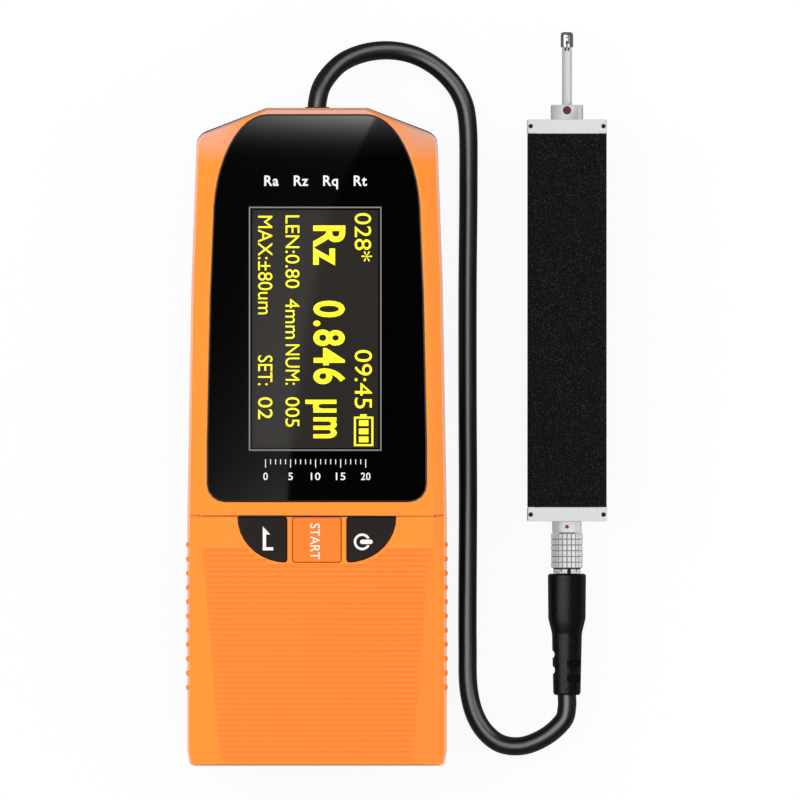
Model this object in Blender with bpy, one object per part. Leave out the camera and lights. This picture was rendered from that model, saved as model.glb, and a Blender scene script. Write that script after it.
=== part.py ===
"""Surface roughness tester: a handheld host, its drive unit with the pick-up, and the cable between them.

All sizes are in millimetres and become metres where the meshes are made.
The host and the drive unit lie on their backs on the floor, z = 0. +Y runs to the host's top end.
"""

import math

import bmesh
import bpy
from mathutils import Vector

MM = 0.001

# Clearances
SEAT = 0.3  # between pieces that seat on each other
SLIDE = 0.15  # beside a piece that slides
BITE = 1.0  # how far a cutter or a post runs past the face that it starts from

# Host housing
HOST_TOP = 79.2
HOST_BOTTOM = -78.9
HOST_DEPTH = 48.0
HOST_WIDTH = 62.4
TOP_FLAT = 23.6
TOP_FLAT_ROUND = 1.5
SHOULDER_WIDTH = 57.8
SHOULDER_DROP = 6.8
SHOULDER_ROUND = 3.7
WAIST_WIDTH = 60.4
WAIST_FROM_TOP = 42.0
FULL_WIDTH_FROM_TOP = 99.0
FOOT_WIDTH = 61.2
FOOT_TAPER = 4.0
FOOT_ROUND = 1.2
SPLIT_HEIGHT = 24.0
SPLIT_GAP = 0.3
SIDE_WALL = 2.2
FRONT_WALL = 3.4
BACK_WALL = 2.4
SIDE_DRAFT = 0.8
REAR_LIP = 0.35
BACK_EDGE = 3.2
HOLLOW_EDGE = 1.07
BACK_EDGE_ROUND = ((0.0, 1.0), (0.1, 0.6), (0.36, 0.28), (1.0, 0.08))  # shares of its height and width

# Front face, inside its sloping facets
FACE_TOP = 77.75
FACE_BOTTOM = -77.3
FACE_ARCH_FLAT = 24.0
FACE_ARCH_WIDTH = 51.8
FACE_ARCH_HEIGHT = 27.7
FACE_WAIST_WIDTH = 55.6
FACE_WAIST_CURVE = 0.6  # below 1 widens soon under the arch
FACE_FOOT_CURVE = 0.9
FACE_FOOT_WIDTH = 45.6
FACE_FOOT_ROUND = 1.2
FACE_EDGE = ((0.0, 0.35), (0.07, 0.12), (0.22, -0.12), (0.45, -0.56))  # (drop, inset) over the crease
FACET_SLOPE = 0.8  # millimetres down for each millimetre out
FACET_REACH = 14.0

# Lens and display
LENS_TOP = 77.4
LENS_BOTTOM = -15.4
LENS_ARCH_FLAT = 23.6
LENS_ARCH_WIDTH = 49.6
LENS_ARCH_HEIGHT = 25.5
LENS_WIDTH = 52.6
LENS_SPREAD_LENGTH = 18.0
LENS_FULL_WIDTH_FROM_FOOT = 14.0
LENS_FOOT_ROUND = 4.2
LENS_THICK = 1.4
LENS_SUNK = 0.05
LENS_EDGE = 0.2
LENS_FIT = 0.12
SCREEN_CENTRE = (-0.3, 26.0)
SCREEN_WIDTH = 31.0
SCREEN_LENGTH = 57.6
SCREEN_ROUND = 1.0
MODULE_WIDTH = 36.0
MODULE_LENGTH = 63.0
MODULE_THICK = 3.0
MODULE_ROUND = 0.6

# Keys
KEY_TOP_EDGE = -19.1
KEY_BOTTOM_EDGE = -29.85
KEY_PROUD = 0.35
KEY_EDGE = 0.35
KEY_ROUND = 0.6
KEY_TRAVEL = 0.5
KEY_LIP = 0.4
KEY_LIP_THICK = 1.1
START_WIDTH = 11.6
KEY_STRIP = 1.4
SIDE_KEY_REACH = 11.7
SIDE_KEY_MIDDLE = 0.42  # share of its reach, where its switch is
KEY_MIDDLE = 0.45  # share of its length

# Groove above the keys, and the grip
GROOVE_AT = -18.9
GROOVE_WIDTH = 0.34
GROOVE_DEPTH = 0.45
GROOVE_LIFT = 0.4
GRIP_TOP = -26.6
GRIP_RIB_COUNT = 40
GRIP_PITCH = 1.27
GRIP_LAND = 0.4
GRIP_DEPTH = 0.3
GRIP_FROM_KEYS = 0.9
SIDE_RIB_COUNT = 11
SIDE_RIB_PITCH = 3.42
SIDE_RIB_TOP = -25.7
SIDE_RIB_WIDTH = 1.3
SIDE_RIB_PROUD = 0.2
SIDE_RIB_LOW = 27.0
SIDE_RIB_HIGH = 41.0

# Inside the host
POST_PLACES = ((-24.4, 60.0), (24.4, 60.0), (-21.4, -68.0), (21.4, -68.0))
POST_RADIUS = 2.7
BOSS_RADIUS = 3.4
SCREW_RADIUS = 1.0
SCREW_HEAD_RADIUS = 1.9
SCREW_HEAD_THICK = 1.6
SCREW_SUNK = 2.4
SCREW_REACH = 14.0
SCREW_HEAD_EDGE = 0.3
BOARD_WIDTH = 42.6
BOARD_TOP_END = 66.0
BOARD_BOTTOM_END = -40.0
BOARD_THICK = 1.6
BOARD_DROP = 8.4
BOARD_ROUND = 2.0
STUB_RADIUS = 1.6
STUB_PLACES = ((-19.6, 63.0), (19.6, 63.0), (-19.6, -36.5), (19.6, -36.5))
SWITCH_SIZE = 6.0
SWITCH_BODY = 1.5
SWITCH_STEM_RADIUS = 1.6
SWITCH_HEIGHT = 2.5
SWITCH_ROUND = 0.4
BATTERY_WIDTH = 38.0
BATTERY_LENGTH = 66.0
BATTERY_THICK = 12.0
BATTERY_ROUND = 5.4
BATTERY_AT = -20.0

# Cable outlet in the host's top end
OUTLET_HEIGHT = 14.0
GROMMET_RADIUS = 3.2
GROMMET_FLANGE = 4.6
GROMMET_FLANGE_THICK = 1.4
GROMMET_PROUD = 0.3
GROMMET_EDGE = 0.3
OUTLET_DEPTH = 6.6

# Drive unit
DRIVE_X = 60.1
DRIVE_WIDTH = 19.2
DRIVE_DEPTH = 22.5
DRIVE_FRONT = 76.44
DRIVE_BACK = -20.16
CAP_THICK = 3.24
CAP_SPIGOT = 2.5
CAP_ROUND = 0.5
CAP_EDGE = 0.15
TUBE_INSET = 0.1
TUBE_WALL = 1.6
TUBE_ROUND = 0.7
CAP_PIT_RADIUS = 0.55
CAP_PIT_DEPTH = 1.0
CAP_PIT_FROM_EDGE = 0.85

# Mechanism in the drive unit
COLLAR_RADIUS = 3.9
COLLAR_FRONT = 80.04
COLLAR_SPIGOT_RADIUS = 2.6
COLLAR_EDGE = 0.2
PICKUP_RADIUS = 1.2
PICKUP_BORE = 0.75
NOSE_TIP = 97.56
NOSE_RADIUS = 1.5
NOSE_LENGTH = 3.84
NOSE_ROUND = 0.7
NOSE_SLOT = 0.5
NOSE_SLOT_AHEAD = 1.0  # how far it runs past the stylus point
NOSE_NOTCH = 1.25
NOSE_NOTCH_LENGTH = 0.9
STYLUS_WIDTH = 0.3
STYLUS_THICK = 0.5
STYLUS_TAIL = 0.6
STYLUS_NECK = 0.6  # where the point starts, below the nose's surface
STYLUS_POINT = 0.06
STYLUS_PIVOT_FROM_TIP = 11.0
STYLUS_TIP_FROM_NOSE = 2.4
STYLUS_PROUD = 0.12
CARRIAGE_FRONT = 66.0
CARRIAGE_LENGTH = 12.0
CARRIAGE_WIDTH = 12.8
CARRIAGE_TOP = 3.2
CARRIAGE_BOTTOM = -7.4
CARRIAGE_SOCKET = 4.5
ROD_RADIUS = 1.0
ROD_SPREAD = 9.6
SHAFT_DROP = 4.0
LEAD_SCREW_RADIUS = 1.25
LEAD_SCREW_EDGE = 0.4
NUT_RADIUS = 2.2
NUT_LENGTH = 4.0
BULKHEAD_FRONT = 38.5
BULKHEAD_THICK = 2.5
MOTOR_RADIUS = 5.0
MOTOR_LENGTH = 26.0
MOTOR_EDGE = 0.8
GEARBOX_LENGTH = 9.0
GEARBOX_STEP = 0.3
DRIVE_BOARD_LENGTH = 20.0
DRIVE_BOARD_FRONT = 6.0
DRIVE_BOARD_THICK = 1.2
DRIVE_BOARD_ROUND = 0.4

# Socket and plug
SOCKET_RADIUS = 3.55
SOCKET_EDGE = 0.15
SOCKET_LENGTH = 2.5
SOCKET_BARREL = 2.9
SOCKET_BORE = 2.2
SOCKET_DEPTH = 8.0
PLUG_NOSE_RADIUS = 1.9
PLUG_NOSE_DEPTH = 5.0
PLUG_NOSE_EDGE = 0.2
PLUG_SHOULDER = 0.5
PLUG_CORE_RADIUS = 2.5
SLEEVE_RADIUS = 3.85
SLEEVE_LENGTH = 8.3
SLEEVE_EDGE = 0.25
SLEEVE_PULL = 0.9
COLLET_RADIUS = 3.3
COLLET_LENGTH = 1.4
COLLET_HIDDEN = 1.3
COLLET_SLOT = 0.5
COLLET_SLOTS = (80.0, 170.0, 260.0, 350.0)
BOOT_RADIUS = 4.6
BOOT_NECK_RADIUS = 3.6
BOOT_END_RADIUS = 3.3
BOOT_BARREL = 10.8
BOOT_TAPER = 4.0
BOOT_LENGTH = 29.2
BOOT_GRIP = 7.5
BOOT_EDGE = 0.4
BOOT_SLOT_WIDTH = 4.0
BOOT_SLOT_LENGTH = 1.7
BOOT_SLOT_DEPTH = 0.9
BOOT_SLOTS = ((55.0, 7.6), (55.0, 4.0), (175.0, 9.8), (175.0, 6.0), (295.0, 7.6), (295.0, 4.0))

# Cable between them
CABLE_RADIUS = 2.25
CABLE_STEPS = 76
ROUTE_STEPS = 12  # between two points of the route
CABLE_ROUTE = (
    (0.0, 76.4, 14.0),
    (0.0, 80.4, 13.9),
    (1.4, 85.2, 13.0),
    (5.6, 90.0, 10.4),
    (11.4, 92.6, 7.2),
    (18.0, 93.2, 4.6),
    (24.4, 91.7, 3.0),
    (30.2, 88.0, 2.4),
    (34.4, 82.6, 2.3),
    (36.2, 75.6, 2.3),
    (36.4, 60.0, 2.3),
    (36.2, 36.0, 2.3),
    (36.2, 10.0, 2.3),
    (36.3, -14.0, 2.3),
    (36.2, -36.0, 2.4),
    (36.2, -50.0, 3.0),
    (36.5, -61.0, 4.4),
    (38.8, -68.6, 5.9),
    (43.4, -73.4, 7.4),
    (49.2, -74.3, 8.9),
    (55.0, -72.0, 10.2),
    (59.2, -68.2, 11.0),
    (60.1, -65.0, 11.25),
    (60.1, -62.35, 11.25),
)

# Fineness of round shapes
CORNER_STEPS = 4
ARCH_STEPS = 12
KEY_STEPS = 9
ROUND_STEPS = 32
TUBE_STEPS = 24
SMALL_STEPS = 16
PIT_STEPS = 12
SHARP_ANGLE = math.radians(35.0)


# Materials

def material(name, color, roughness, metallic=0.0, alpha=1.0):
    made = bpy.data.materials.new(name)
    made.use_nodes = True
    made.diffuse_color = (*color, alpha)
    shader = made.node_tree.nodes["Principled BSDF"]
    shader.inputs["Base Color"].default_value = (*color, 1.0)
    shader.inputs["Roughness"].default_value = roughness
    shader.inputs["Metallic"].default_value = metallic
    shader.inputs["Alpha"].default_value = alpha
    return made


def all_materials():
    return {
        "orange": material("orange_housing", (0.98, 0.30, 0.055), 0.45),
        "charcoal": material("charcoal_housing", (0.03, 0.03, 0.032), 0.55),
        "lens": material("lens_black", (0.004, 0.004, 0.004), 0.06),
        "key": material("key_black", (0.022, 0.02, 0.019), 0.5),
        "board": material("board_green", (0.02, 0.16, 0.07), 0.5),
        "display": material("display_glass", (0.03, 0.027, 0.025), 0.2),
        "switch": material("switch_black", (0.03, 0.03, 0.03), 0.5),
        "battery": material("battery_blue", (0.05, 0.12, 0.3), 0.4),
        "screw": material("screw_steel", (0.5, 0.5, 0.52), 0.35, 1.0),
        "rubber": material("rubber_black", (0.015, 0.015, 0.015), 0.6),
        "anodised": material("anodised_black", (0.009, 0.009, 0.01), 0.5, 0.3),
        "alloy": material("satin_alloy", (0.75, 0.75, 0.76), 0.35, 1.0),
        "chrome": material("polished_steel", (0.72, 0.72, 0.74), 0.15, 1.0),
        "brass": material("nut_brass", (0.62, 0.42, 0.16), 0.35, 1.0),
        "motor": material("motor_steel", (0.45, 0.45, 0.47), 0.4, 1.0),
        "cable": material("cable_black", (0.012, 0.012, 0.012), 0.4),
    }


# Outlines

def rounded(corners, inset=0.0):
    """Clockwise outline through (x, y, radius) corners, moved inwards by inset."""
    points = []
    for i, (x, y, radius) in enumerate(corners):
        here = Vector((x, y))
        into = (here - Vector(corners[i - 1][:2])).normalized()
        out = (Vector(corners[(i + 1) % len(corners)][:2]) - here).normalized()
        inward_before = Vector((into.y, -into.x))
        inward_after = Vector((out.y, -out.x))
        both = inward_before + inward_after
        spot = here + both / (1.0 + inward_before.dot(inward_after)) * inset
        if radius == 0.0:
            points.append(spot)
            continue
        turn = into.angle(out)
        bend = max(radius - inset, 0.2)
        centre = spot + both.normalized() * bend / math.cos(turn / 2.0)
        start = math.atan2(-inward_before.y, -inward_before.x)
        for step in range(CORNER_STEPS + 1):
            angle = start - turn * step / CORNER_STEPS
            points.append(centre + Vector((math.cos(angle), math.sin(angle))) * bend)
    return points


def both_sides(right_half):
    """Corners of a shape that is the same on both sides, from its right half's, top to bottom."""
    return list(right_half) + [(-x, y, radius) for x, y, radius in reversed(right_half)]


def arch(flat, width, top, height):
    """Right half of a flat-topped elliptic arch, from the flat's end down to its widest point."""
    half_flat = flat / 2.0
    reach = (width - flat) / 2.0
    points = []
    for step in range(ARCH_STEPS + 1):
        angle = math.pi / 2.0 * (1.0 - step / ARCH_STEPS)
        points.append((half_flat + reach * math.cos(angle), top - height + height * math.sin(angle), 0.0))
    return points


def host_corners(lip=0.0):
    """Plan of the housing's walls. lip raises the sloping shoulders."""
    return both_sides([
        (TOP_FLAT / 2.0 + lip, HOST_TOP, TOP_FLAT_ROUND),
        (SHOULDER_WIDTH / 2.0, HOST_TOP - SHOULDER_DROP + lip, SHOULDER_ROUND),
        (WAIST_WIDTH / 2.0, HOST_TOP - WAIST_FROM_TOP, 0.0),
        (HOST_WIDTH / 2.0, HOST_TOP - FULL_WIDTH_FROM_TOP, 0.0),
        (HOST_WIDTH / 2.0, HOST_BOTTOM + FOOT_TAPER, 0.0),
        (FOOT_WIDTH / 2.0, HOST_BOTTOM, FOOT_ROUND),
    ])


def face_corners():
    """Plan of the flat front face, which narrows downwards along the grip."""
    upper = (FACE_TOP - FACE_ARCH_HEIGHT + GROOVE_AT) / 2.0
    lower = (GROOVE_AT + FACE_BOTTOM) / 2.0
    return both_sides(arch(FACE_ARCH_FLAT, FACE_ARCH_WIDTH, FACE_TOP, FACE_ARCH_HEIGHT) + [
        (face_half_width(upper), upper, 0.0),
        (FACE_WAIST_WIDTH / 2.0, GROOVE_AT, 0.0),
        (face_half_width(lower), lower, 0.0),
        (FACE_FOOT_WIDTH / 2.0, FACE_BOTTOM, FACE_FOOT_ROUND),
    ])


def face_half_width(y):
    """Half the front face's width at y, below its arch."""
    arch_foot = FACE_TOP - FACE_ARCH_HEIGHT
    if y > GROOVE_AT:
        share = ((arch_foot - y) / (arch_foot - GROOVE_AT)) ** FACE_WAIST_CURVE
        return (FACE_ARCH_WIDTH + (FACE_WAIST_WIDTH - FACE_ARCH_WIDTH) * share) / 2.0
    share = ((GROOVE_AT - y) / (GROOVE_AT - FACE_BOTTOM)) ** FACE_FOOT_CURVE
    return (FACE_WAIST_WIDTH + (FACE_FOOT_WIDTH - FACE_WAIST_WIDTH) * share) / 2.0


def lens_corners():
    return both_sides(arch(LENS_ARCH_FLAT, LENS_ARCH_WIDTH, LENS_TOP, LENS_ARCH_HEIGHT) + [
        ((LENS_ARCH_WIDTH + LENS_WIDTH) / 4.0, LENS_TOP - LENS_ARCH_HEIGHT - LENS_SPREAD_LENGTH, 0.0),
        (LENS_WIDTH / 2.0, LENS_BOTTOM + LENS_FULL_WIDTH_FROM_FOOT, 0.0),
        (LENS_WIDTH / 2.0, LENS_BOTTOM, LENS_FOOT_ROUND),
    ])


def start_key_corners():
    return both_sides([
        (START_WIDTH / 2.0, KEY_TOP_EDGE, KEY_ROUND),
        (START_WIDTH / 2.0, KEY_BOTTOM_EDGE, KEY_ROUND),
    ])


def side_key_corners(side):
    """A quarter ellipse beside the start key; side is 1 to the right and -1 to the left."""
    inner = START_WIDTH / 2.0 + KEY_STRIP
    drop = KEY_TOP_EDGE - KEY_BOTTOM_EDGE
    corners = [(inner, KEY_TOP_EDGE, KEY_ROUND)]
    for step in range(KEY_STEPS):
        angle = math.pi / 2.0 * step / KEY_STEPS
        corners.append((
            inner + SIDE_KEY_REACH * math.cos(angle), KEY_TOP_EDGE - drop * math.sin(angle), 0.0
        ))
    corners.append((inner, KEY_BOTTOM_EDGE, KEY_ROUND))
    if side > 0:
        return corners
    return [(-x, y, radius) for x, y, radius in reversed(corners)]


def side_key_edge(y):
    """How far out the side keys reach at y."""
    share = (KEY_TOP_EDGE - y) / (KEY_TOP_EDGE - KEY_BOTTOM_EDGE)
    return START_WIDTH / 2.0 + KEY_STRIP + SIDE_KEY_REACH * math.sqrt(max(1.0 - share * share, 0.0))


def rectangle(width, height, corner, centre=(0.0, 0.0)):
    x, y = width / 2.0, height / 2.0
    corners = [(x, y, corner), (x, -y, corner), (-x, -y, corner), (-x, y, corner)]
    return [point + Vector(centre) for point in rounded(corners)]


def circle(radius, steps=ROUND_STEPS):
    angles = [2.0 * math.pi * step / steps for step in range(steps)]
    return [Vector((radius * math.cos(angle), -radius * math.sin(angle))) for angle in angles]


# Solids, as bmesh in millimetres

def loft(rings, closed=False):
    """Skin over rings of equally many points: capped at both ends, or closed back to the first ring."""
    bm = bmesh.new()
    rows = [[bm.verts.new(point) for point in ring] for ring in rings]
    links = list(zip(rows, rows[1:]))
    if closed:
        links.append((rows[-1], rows[0]))
    else:
        bm.faces.new(rows[0])
        bm.faces.new(list(reversed(rows[-1])))
    for low, high in links:
        for i in range(len(low)):
            j = (i + 1) % len(low)
            bm.faces.new((low[i], high[i], high[j], low[j]))
    bmesh.ops.recalc_face_normals(bm, faces=bm.faces)
    if bm.calc_volume(signed=True) < 0.0:
        bmesh.ops.reverse_faces(bm, faces=bm.faces)
    return bm


def stack(corners, levels):
    """Solid from (z, inset) levels of one outline, for instance with rounded or sloping edges."""
    return loft([[(p.x, p.y, z) for p in rounded(corners, inset)] for z, inset in levels])


def slab(points, low, high):
    return loft([[(p.x, p.y, z) for p in points] for z in (low, high)])


def bar(sections, centre=(0.0, 0.0), closed=False):
    """Solid along Y from (y, outline) sections in the XZ plane about centre."""
    x, z = centre
    return loft([[(x + p.x, y, z + p.y) for p in points] for y, points in sections], closed)


def turned(profile, centre, steps=ROUND_STEPS, closed=False):
    """Solid of revolution along Y from (y, radius) points."""
    return bar([(y, circle(radius, steps)) for y, radius in profile], centre, closed)


def post(x, y, radius, low, high, steps=SMALL_STEPS):
    return slab([point + Vector((x, y)) for point in circle(radius, steps)], low, high)


def block(low, high):
    corners = [(high[0], high[1]), (high[0], low[1]), (low[0], low[1]), (low[0], high[1])]
    return slab([Vector(corner) for corner in corners], low[2], high[2])


def together(solids):
    """Several solids that don't touch, in one bmesh."""
    whole = bmesh.new()
    for solid in solids:
        piece = bpy.data.meshes.new("piece")
        solid.to_mesh(piece)
        solid.free()
        whole.from_mesh(piece)
        bpy.data.meshes.remove(piece)
    return whole


# Objects

def place(name, bm, look, origin=(0.0, 0.0, 0.0)):
    """Make the object, in metres, with its origin at the given point."""
    bmesh.ops.translate(bm, verts=bm.verts, vec=-Vector(origin))
    bmesh.ops.scale(bm, verts=bm.verts, vec=(MM, MM, MM))
    mesh = bpy.data.meshes.new(name)
    bm.to_mesh(mesh)
    bm.free()
    mesh.shade_smooth()
    mesh.set_sharp_from_angle(angle=SHARP_ANGLE)
    obj = bpy.data.objects.new(name, mesh)
    obj.location = Vector(origin) * MM
    bpy.context.scene.collection.objects.link(obj)
    if look:
        mesh.materials.append(look)
    return obj


def tool(name, bm):
    """A cutter or other guide, which isn't part of the model."""
    obj = place(name, bm, None)
    obj.hide_render = True
    obj.display_type = "WIRE"
    return obj


def combine(obj, other, operation):
    modifier = obj.modifiers.new(operation.lower(), "BOOLEAN")
    modifier.operation = operation
    modifier.solver = "EXACT"
    modifier.object = other
    return obj


def cut(obj, name, bm):
    return combine(obj, tool(name, bm), "DIFFERENCE")


def add(obj, name, bm):
    return combine(obj, tool(name, bm), "UNION")


# Host

def face_levels(lowered, foot):
    """Levels of the front face's solid: a softened edge and then the facets."""
    top = HOST_DEPTH - lowered
    levels = [(top - drop, inset) for drop, inset in FACE_EDGE]
    reach = -FACET_REACH / FACET_SLOPE
    return levels + [(top - FACET_REACH, reach), (foot, reach)]


def front_body(inset, lowered, foot):
    """The front housing's outer form, or its hollow when moved inwards."""
    walls = stack(host_corners(), [(foot, inset), (HOST_DEPTH - lowered + BITE, inset + SIDE_DRAFT)])
    return walls, stack(face_corners(), face_levels(lowered, foot - BITE))


def grip_grooves():
    """Shallow cuts that leave the grip's narrow cross ribs standing."""
    low, high = HOST_DEPTH - GRIP_DEPTH, HOST_DEPTH + BITE
    width = HOST_WIDTH / 2.0
    cuts = []
    for i in range(GRIP_RIB_COUNT):
        top = GRIP_TOP - i * GRIP_PITCH
        bottom = top - GRIP_PITCH + GRIP_LAND
        if top > KEY_BOTTOM_EDGE:
            inner = side_key_edge(top) + GRIP_FROM_KEYS
            cuts.append(block((inner, bottom, low), (width, top, high)))
            cuts.append(block((-width, bottom, low), (-inner, top, high)))
        else:
            cuts.append(block((-width, bottom, low), (width, top, high)))
    return together(cuts)


def front_groove():
    """A fine groove right across the front, down both facets, where its ends rise towards the top."""
    face = face_half_width(GROOVE_AT)
    side = HOST_WIDTH / 2.0
    top = HOST_DEPTH - GROOVE_DEPTH
    edge = top - (side - face) * FACET_SLOPE
    beyond = side + BITE
    section = [
        (face, HOST_DEPTH + BITE), (beyond, HOST_DEPTH + BITE), (beyond, edge - BITE),
        (side - GROOVE_DEPTH, edge - BITE), (side - GROOVE_DEPTH, edge), (face - GROOVE_DEPTH, top),
    ]
    points = section + [(-x, z) for x, z in reversed(section)]
    rings = []
    for middle in (GROOVE_AT - GROOVE_WIDTH / 2.0, GROOVE_AT + GROOVE_WIDTH / 2.0):
        lifts = [GROOVE_LIFT * max(abs(x) - face, 0.0) / (side - face) for x, _ in points]
        rings.append([(x, middle + lift, z) for (x, z), lift in zip(points, lifts)])
    return loft(rings)


def side_ribs():
    """Upright ribs on both side walls of the grip."""
    ribs = []
    outer = HOST_WIDTH / 2.0 + SIDE_RIB_PROUD
    inner = HOST_WIDTH / 2.0 - SIDE_DRAFT - BITE / 2.0
    for i in range(SIDE_RIB_COUNT):
        y = SIDE_RIB_TOP - i * SIDE_RIB_PITCH
        soft = SIDE_RIB_WIDTH / 4.0
        plan = [
            (inner, y + SIDE_RIB_WIDTH / 2.0), (outer - soft, y + SIDE_RIB_WIDTH / 2.0), (outer, y + soft),
            (outer, y - soft), (outer - soft, y - SIDE_RIB_WIDTH / 2.0), (inner, y - SIDE_RIB_WIDTH / 2.0),
        ]
        ribs.append(slab([Vector(p) for p in plan], SIDE_RIB_LOW, SIDE_RIB_HIGH))
        ribs.append(slab([Vector((-x, y)) for x, y in reversed(plan)], SIDE_RIB_LOW, SIDE_RIB_HIGH))
    return together(ribs)


def make_front_shell(looks):
    foot = SPLIT_HEIGHT + SPLIT_GAP / 2.0
    walls, face = front_body(0.0, 0.0, foot)
    shell = place("front_shell", walls, looks["orange"])
    combine(shell, tool("front_face_form", face), "INTERSECT")
    hollow_walls, hollow_face = front_body(SIDE_WALL, FRONT_WALL, foot - BITE)
    hollow = tool("front_hollow", hollow_walls)
    combine(hollow, tool("front_hollow_face", hollow_face), "INTERSECT")
    combine(shell, hollow, "DIFFERENCE")
    under = HOST_DEPTH - FRONT_WALL
    board_top = HOST_DEPTH - BOARD_DROP
    posts = [post(x, y, POST_RADIUS, foot, under + BITE) for x, y in POST_PLACES]
    stubs = [post(x, y, STUB_RADIUS, board_top + SEAT, under + BITE) for x, y in STUB_PLACES]
    add(shell, "front_posts", together(posts + stubs))
    reach = SPLIT_HEIGHT + SCREW_REACH
    cut(shell, "post_holes", together(
        post(x, y, SCREW_RADIUS + SEAT, foot - BITE, reach) for x, y in POST_PLACES
    ))
    lens_floor = HOST_DEPTH - LENS_SUNK - LENS_THICK - SEAT
    cut(shell, "lens_pocket", stack(lens_corners(), [(lens_floor, -LENS_FIT), (HOST_DEPTH + BITE, -LENS_FIT)]))
    cut(shell, "screen_window", slab(
        rectangle(SCREEN_WIDTH, SCREEN_LENGTH, SCREEN_ROUND, SCREEN_CENTRE), under - BITE, HOST_DEPTH
    ))
    holes = [
        stack(corners, [(under - BITE, -SLIDE), (HOST_DEPTH + BITE, -SLIDE)])
        for corners in (start_key_corners(), side_key_corners(1), side_key_corners(-1))
    ]
    cut(shell, "key_holes", together(holes))
    cut(shell, "front_groove", front_groove())
    cut(shell, "grip_grooves", grip_grooves())
    add(shell, "side_ribs", side_ribs())
    return shell


def make_rear_shell(looks):
    rim = SPLIT_HEIGHT - SPLIT_GAP / 2.0
    levels = [(up * BACK_EDGE, inset * BACK_EDGE) for up, inset in BACK_EDGE_ROUND] + [(rim, 0.0)]
    shell = place("rear_shell", stack(host_corners(REAR_LIP), levels), looks["charcoal"])
    hollow = [
        (BACK_WALL, SIDE_WALL + HOLLOW_EDGE), (BACK_WALL + BACK_EDGE, SIDE_WALL), (rim + BITE, SIDE_WALL),
    ]
    cut(shell, "rear_hollow", stack(host_corners(REAR_LIP), hollow))
    add(shell, "rear_bosses", together(
        post(x, y, BOSS_RADIUS, BACK_WALL / 2.0, rim) for x, y in POST_PLACES
    ))
    head_floor = SCREW_SUNK + SCREW_HEAD_THICK + SEAT
    cut(shell, "screw_heads", together(
        post(x, y, SCREW_HEAD_RADIUS + SEAT, -BITE, head_floor) for x, y in POST_PLACES
    ))
    cut(shell, "screw_holes", together(
        post(x, y, SCREW_RADIUS + SEAT, BACK_WALL, rim + BITE) for x, y in POST_PLACES
    ))
    outlet = turned(
        [(HOST_TOP - OUTLET_DEPTH, GROMMET_RADIUS + SEAT), (HOST_TOP + BITE, GROMMET_RADIUS + SEAT)],
        (0.0, OUTLET_HEIGHT),
    )
    cut(shell, "cable_outlet", outlet)
    return shell


def make_case_screws(looks):
    head = SCREW_SUNK + SCREW_HEAD_THICK
    for i, (x, y) in enumerate(POST_PLACES):
        rings = [
            (SCREW_SUNK, SCREW_HEAD_RADIUS - SCREW_HEAD_EDGE),
            (SCREW_SUNK + SCREW_HEAD_EDGE, SCREW_HEAD_RADIUS),
            (head, SCREW_HEAD_RADIUS), (head, SCREW_RADIUS),
            (SPLIT_HEIGHT + SCREW_REACH - BITE, SCREW_RADIUS),
        ]
        solid = loft([
            [(x + p.x, y + p.y, z) for p in circle(radius, SMALL_STEPS)] for z, radius in rings
        ])
        place(f"case_screw_{i + 1}", solid, looks["screw"])


def make_lens(looks):
    top = HOST_DEPTH - LENS_SUNK
    levels = [(top - LENS_THICK, 0.0), (top - LENS_EDGE, 0.0), (top, LENS_EDGE)]
    place("display_lens", stack(lens_corners(), levels), looks["lens"])


def make_display_module(looks):
    top = HOST_DEPTH - FRONT_WALL - SEAT
    outline = rectangle(MODULE_WIDTH, MODULE_LENGTH, MODULE_ROUND, SCREEN_CENTRE)
    place("display_module", slab(outline, top - MODULE_THICK, top), looks["display"])


def make_main_board(looks):
    top = HOST_DEPTH - BOARD_DROP
    middle = (BOARD_TOP_END + BOARD_BOTTOM_END) / 2.0
    outline = rectangle(BOARD_WIDTH, BOARD_TOP_END - BOARD_BOTTOM_END, BOARD_ROUND, (0.0, middle))
    place("main_board", slab(outline, top - BOARD_THICK, top), looks["board"])


def key_centre(side):
    drop = KEY_TOP_EDGE - KEY_BOTTOM_EDGE
    x = side * (START_WIDTH / 2.0 + KEY_STRIP + SIDE_KEY_REACH * SIDE_KEY_MIDDLE)
    return (x, KEY_TOP_EDGE - drop * KEY_MIDDLE)


def make_key(name, corners, centre, look):
    """A key that is held under the front wall by its lip."""
    under = HOST_DEPTH - FRONT_WALL - SEAT
    top = HOST_DEPTH + KEY_PROUD
    levels = [
        (under - KEY_LIP_THICK, -KEY_LIP), (under, -KEY_LIP), (under, 0.0), (top - KEY_EDGE, 0.0),
        (top - KEY_EDGE / 3.0, KEY_EDGE / 3.0), (top, KEY_EDGE),
    ]
    return place(name, stack(corners, levels), look, (*centre, HOST_DEPTH))


def make_keys(looks):
    make_key("start_key", start_key_corners(), key_centre(0), looks["orange"])
    make_key("power_key", side_key_corners(1), key_centre(1), looks["key"])
    make_key("enter_key", side_key_corners(-1), key_centre(-1), looks["key"])


def make_switches(looks):
    """Push switches on the board, each under its key with room for the key's travel."""
    foot = HOST_DEPTH - BOARD_DROP + SEAT
    key_foot = HOST_DEPTH - FRONT_WALL - SEAT - KEY_LIP_THICK
    top = min(foot + SWITCH_HEIGHT, key_foot - KEY_TRAVEL - SEAT)
    for name, side in (("enter", -1), ("start", 0), ("power", 1)):
        x, y = key_centre(side)
        body = slab(rectangle(SWITCH_SIZE, SWITCH_SIZE, SWITCH_ROUND, (x, y)), foot, foot + SWITCH_BODY)
        switch = place(f"{name}_switch", body, looks["switch"])
        add(switch, f"{name}_switch_stem", post(x, y, SWITCH_STEM_RADIUS, foot + SWITCH_BODY / 2.0, top))


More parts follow.
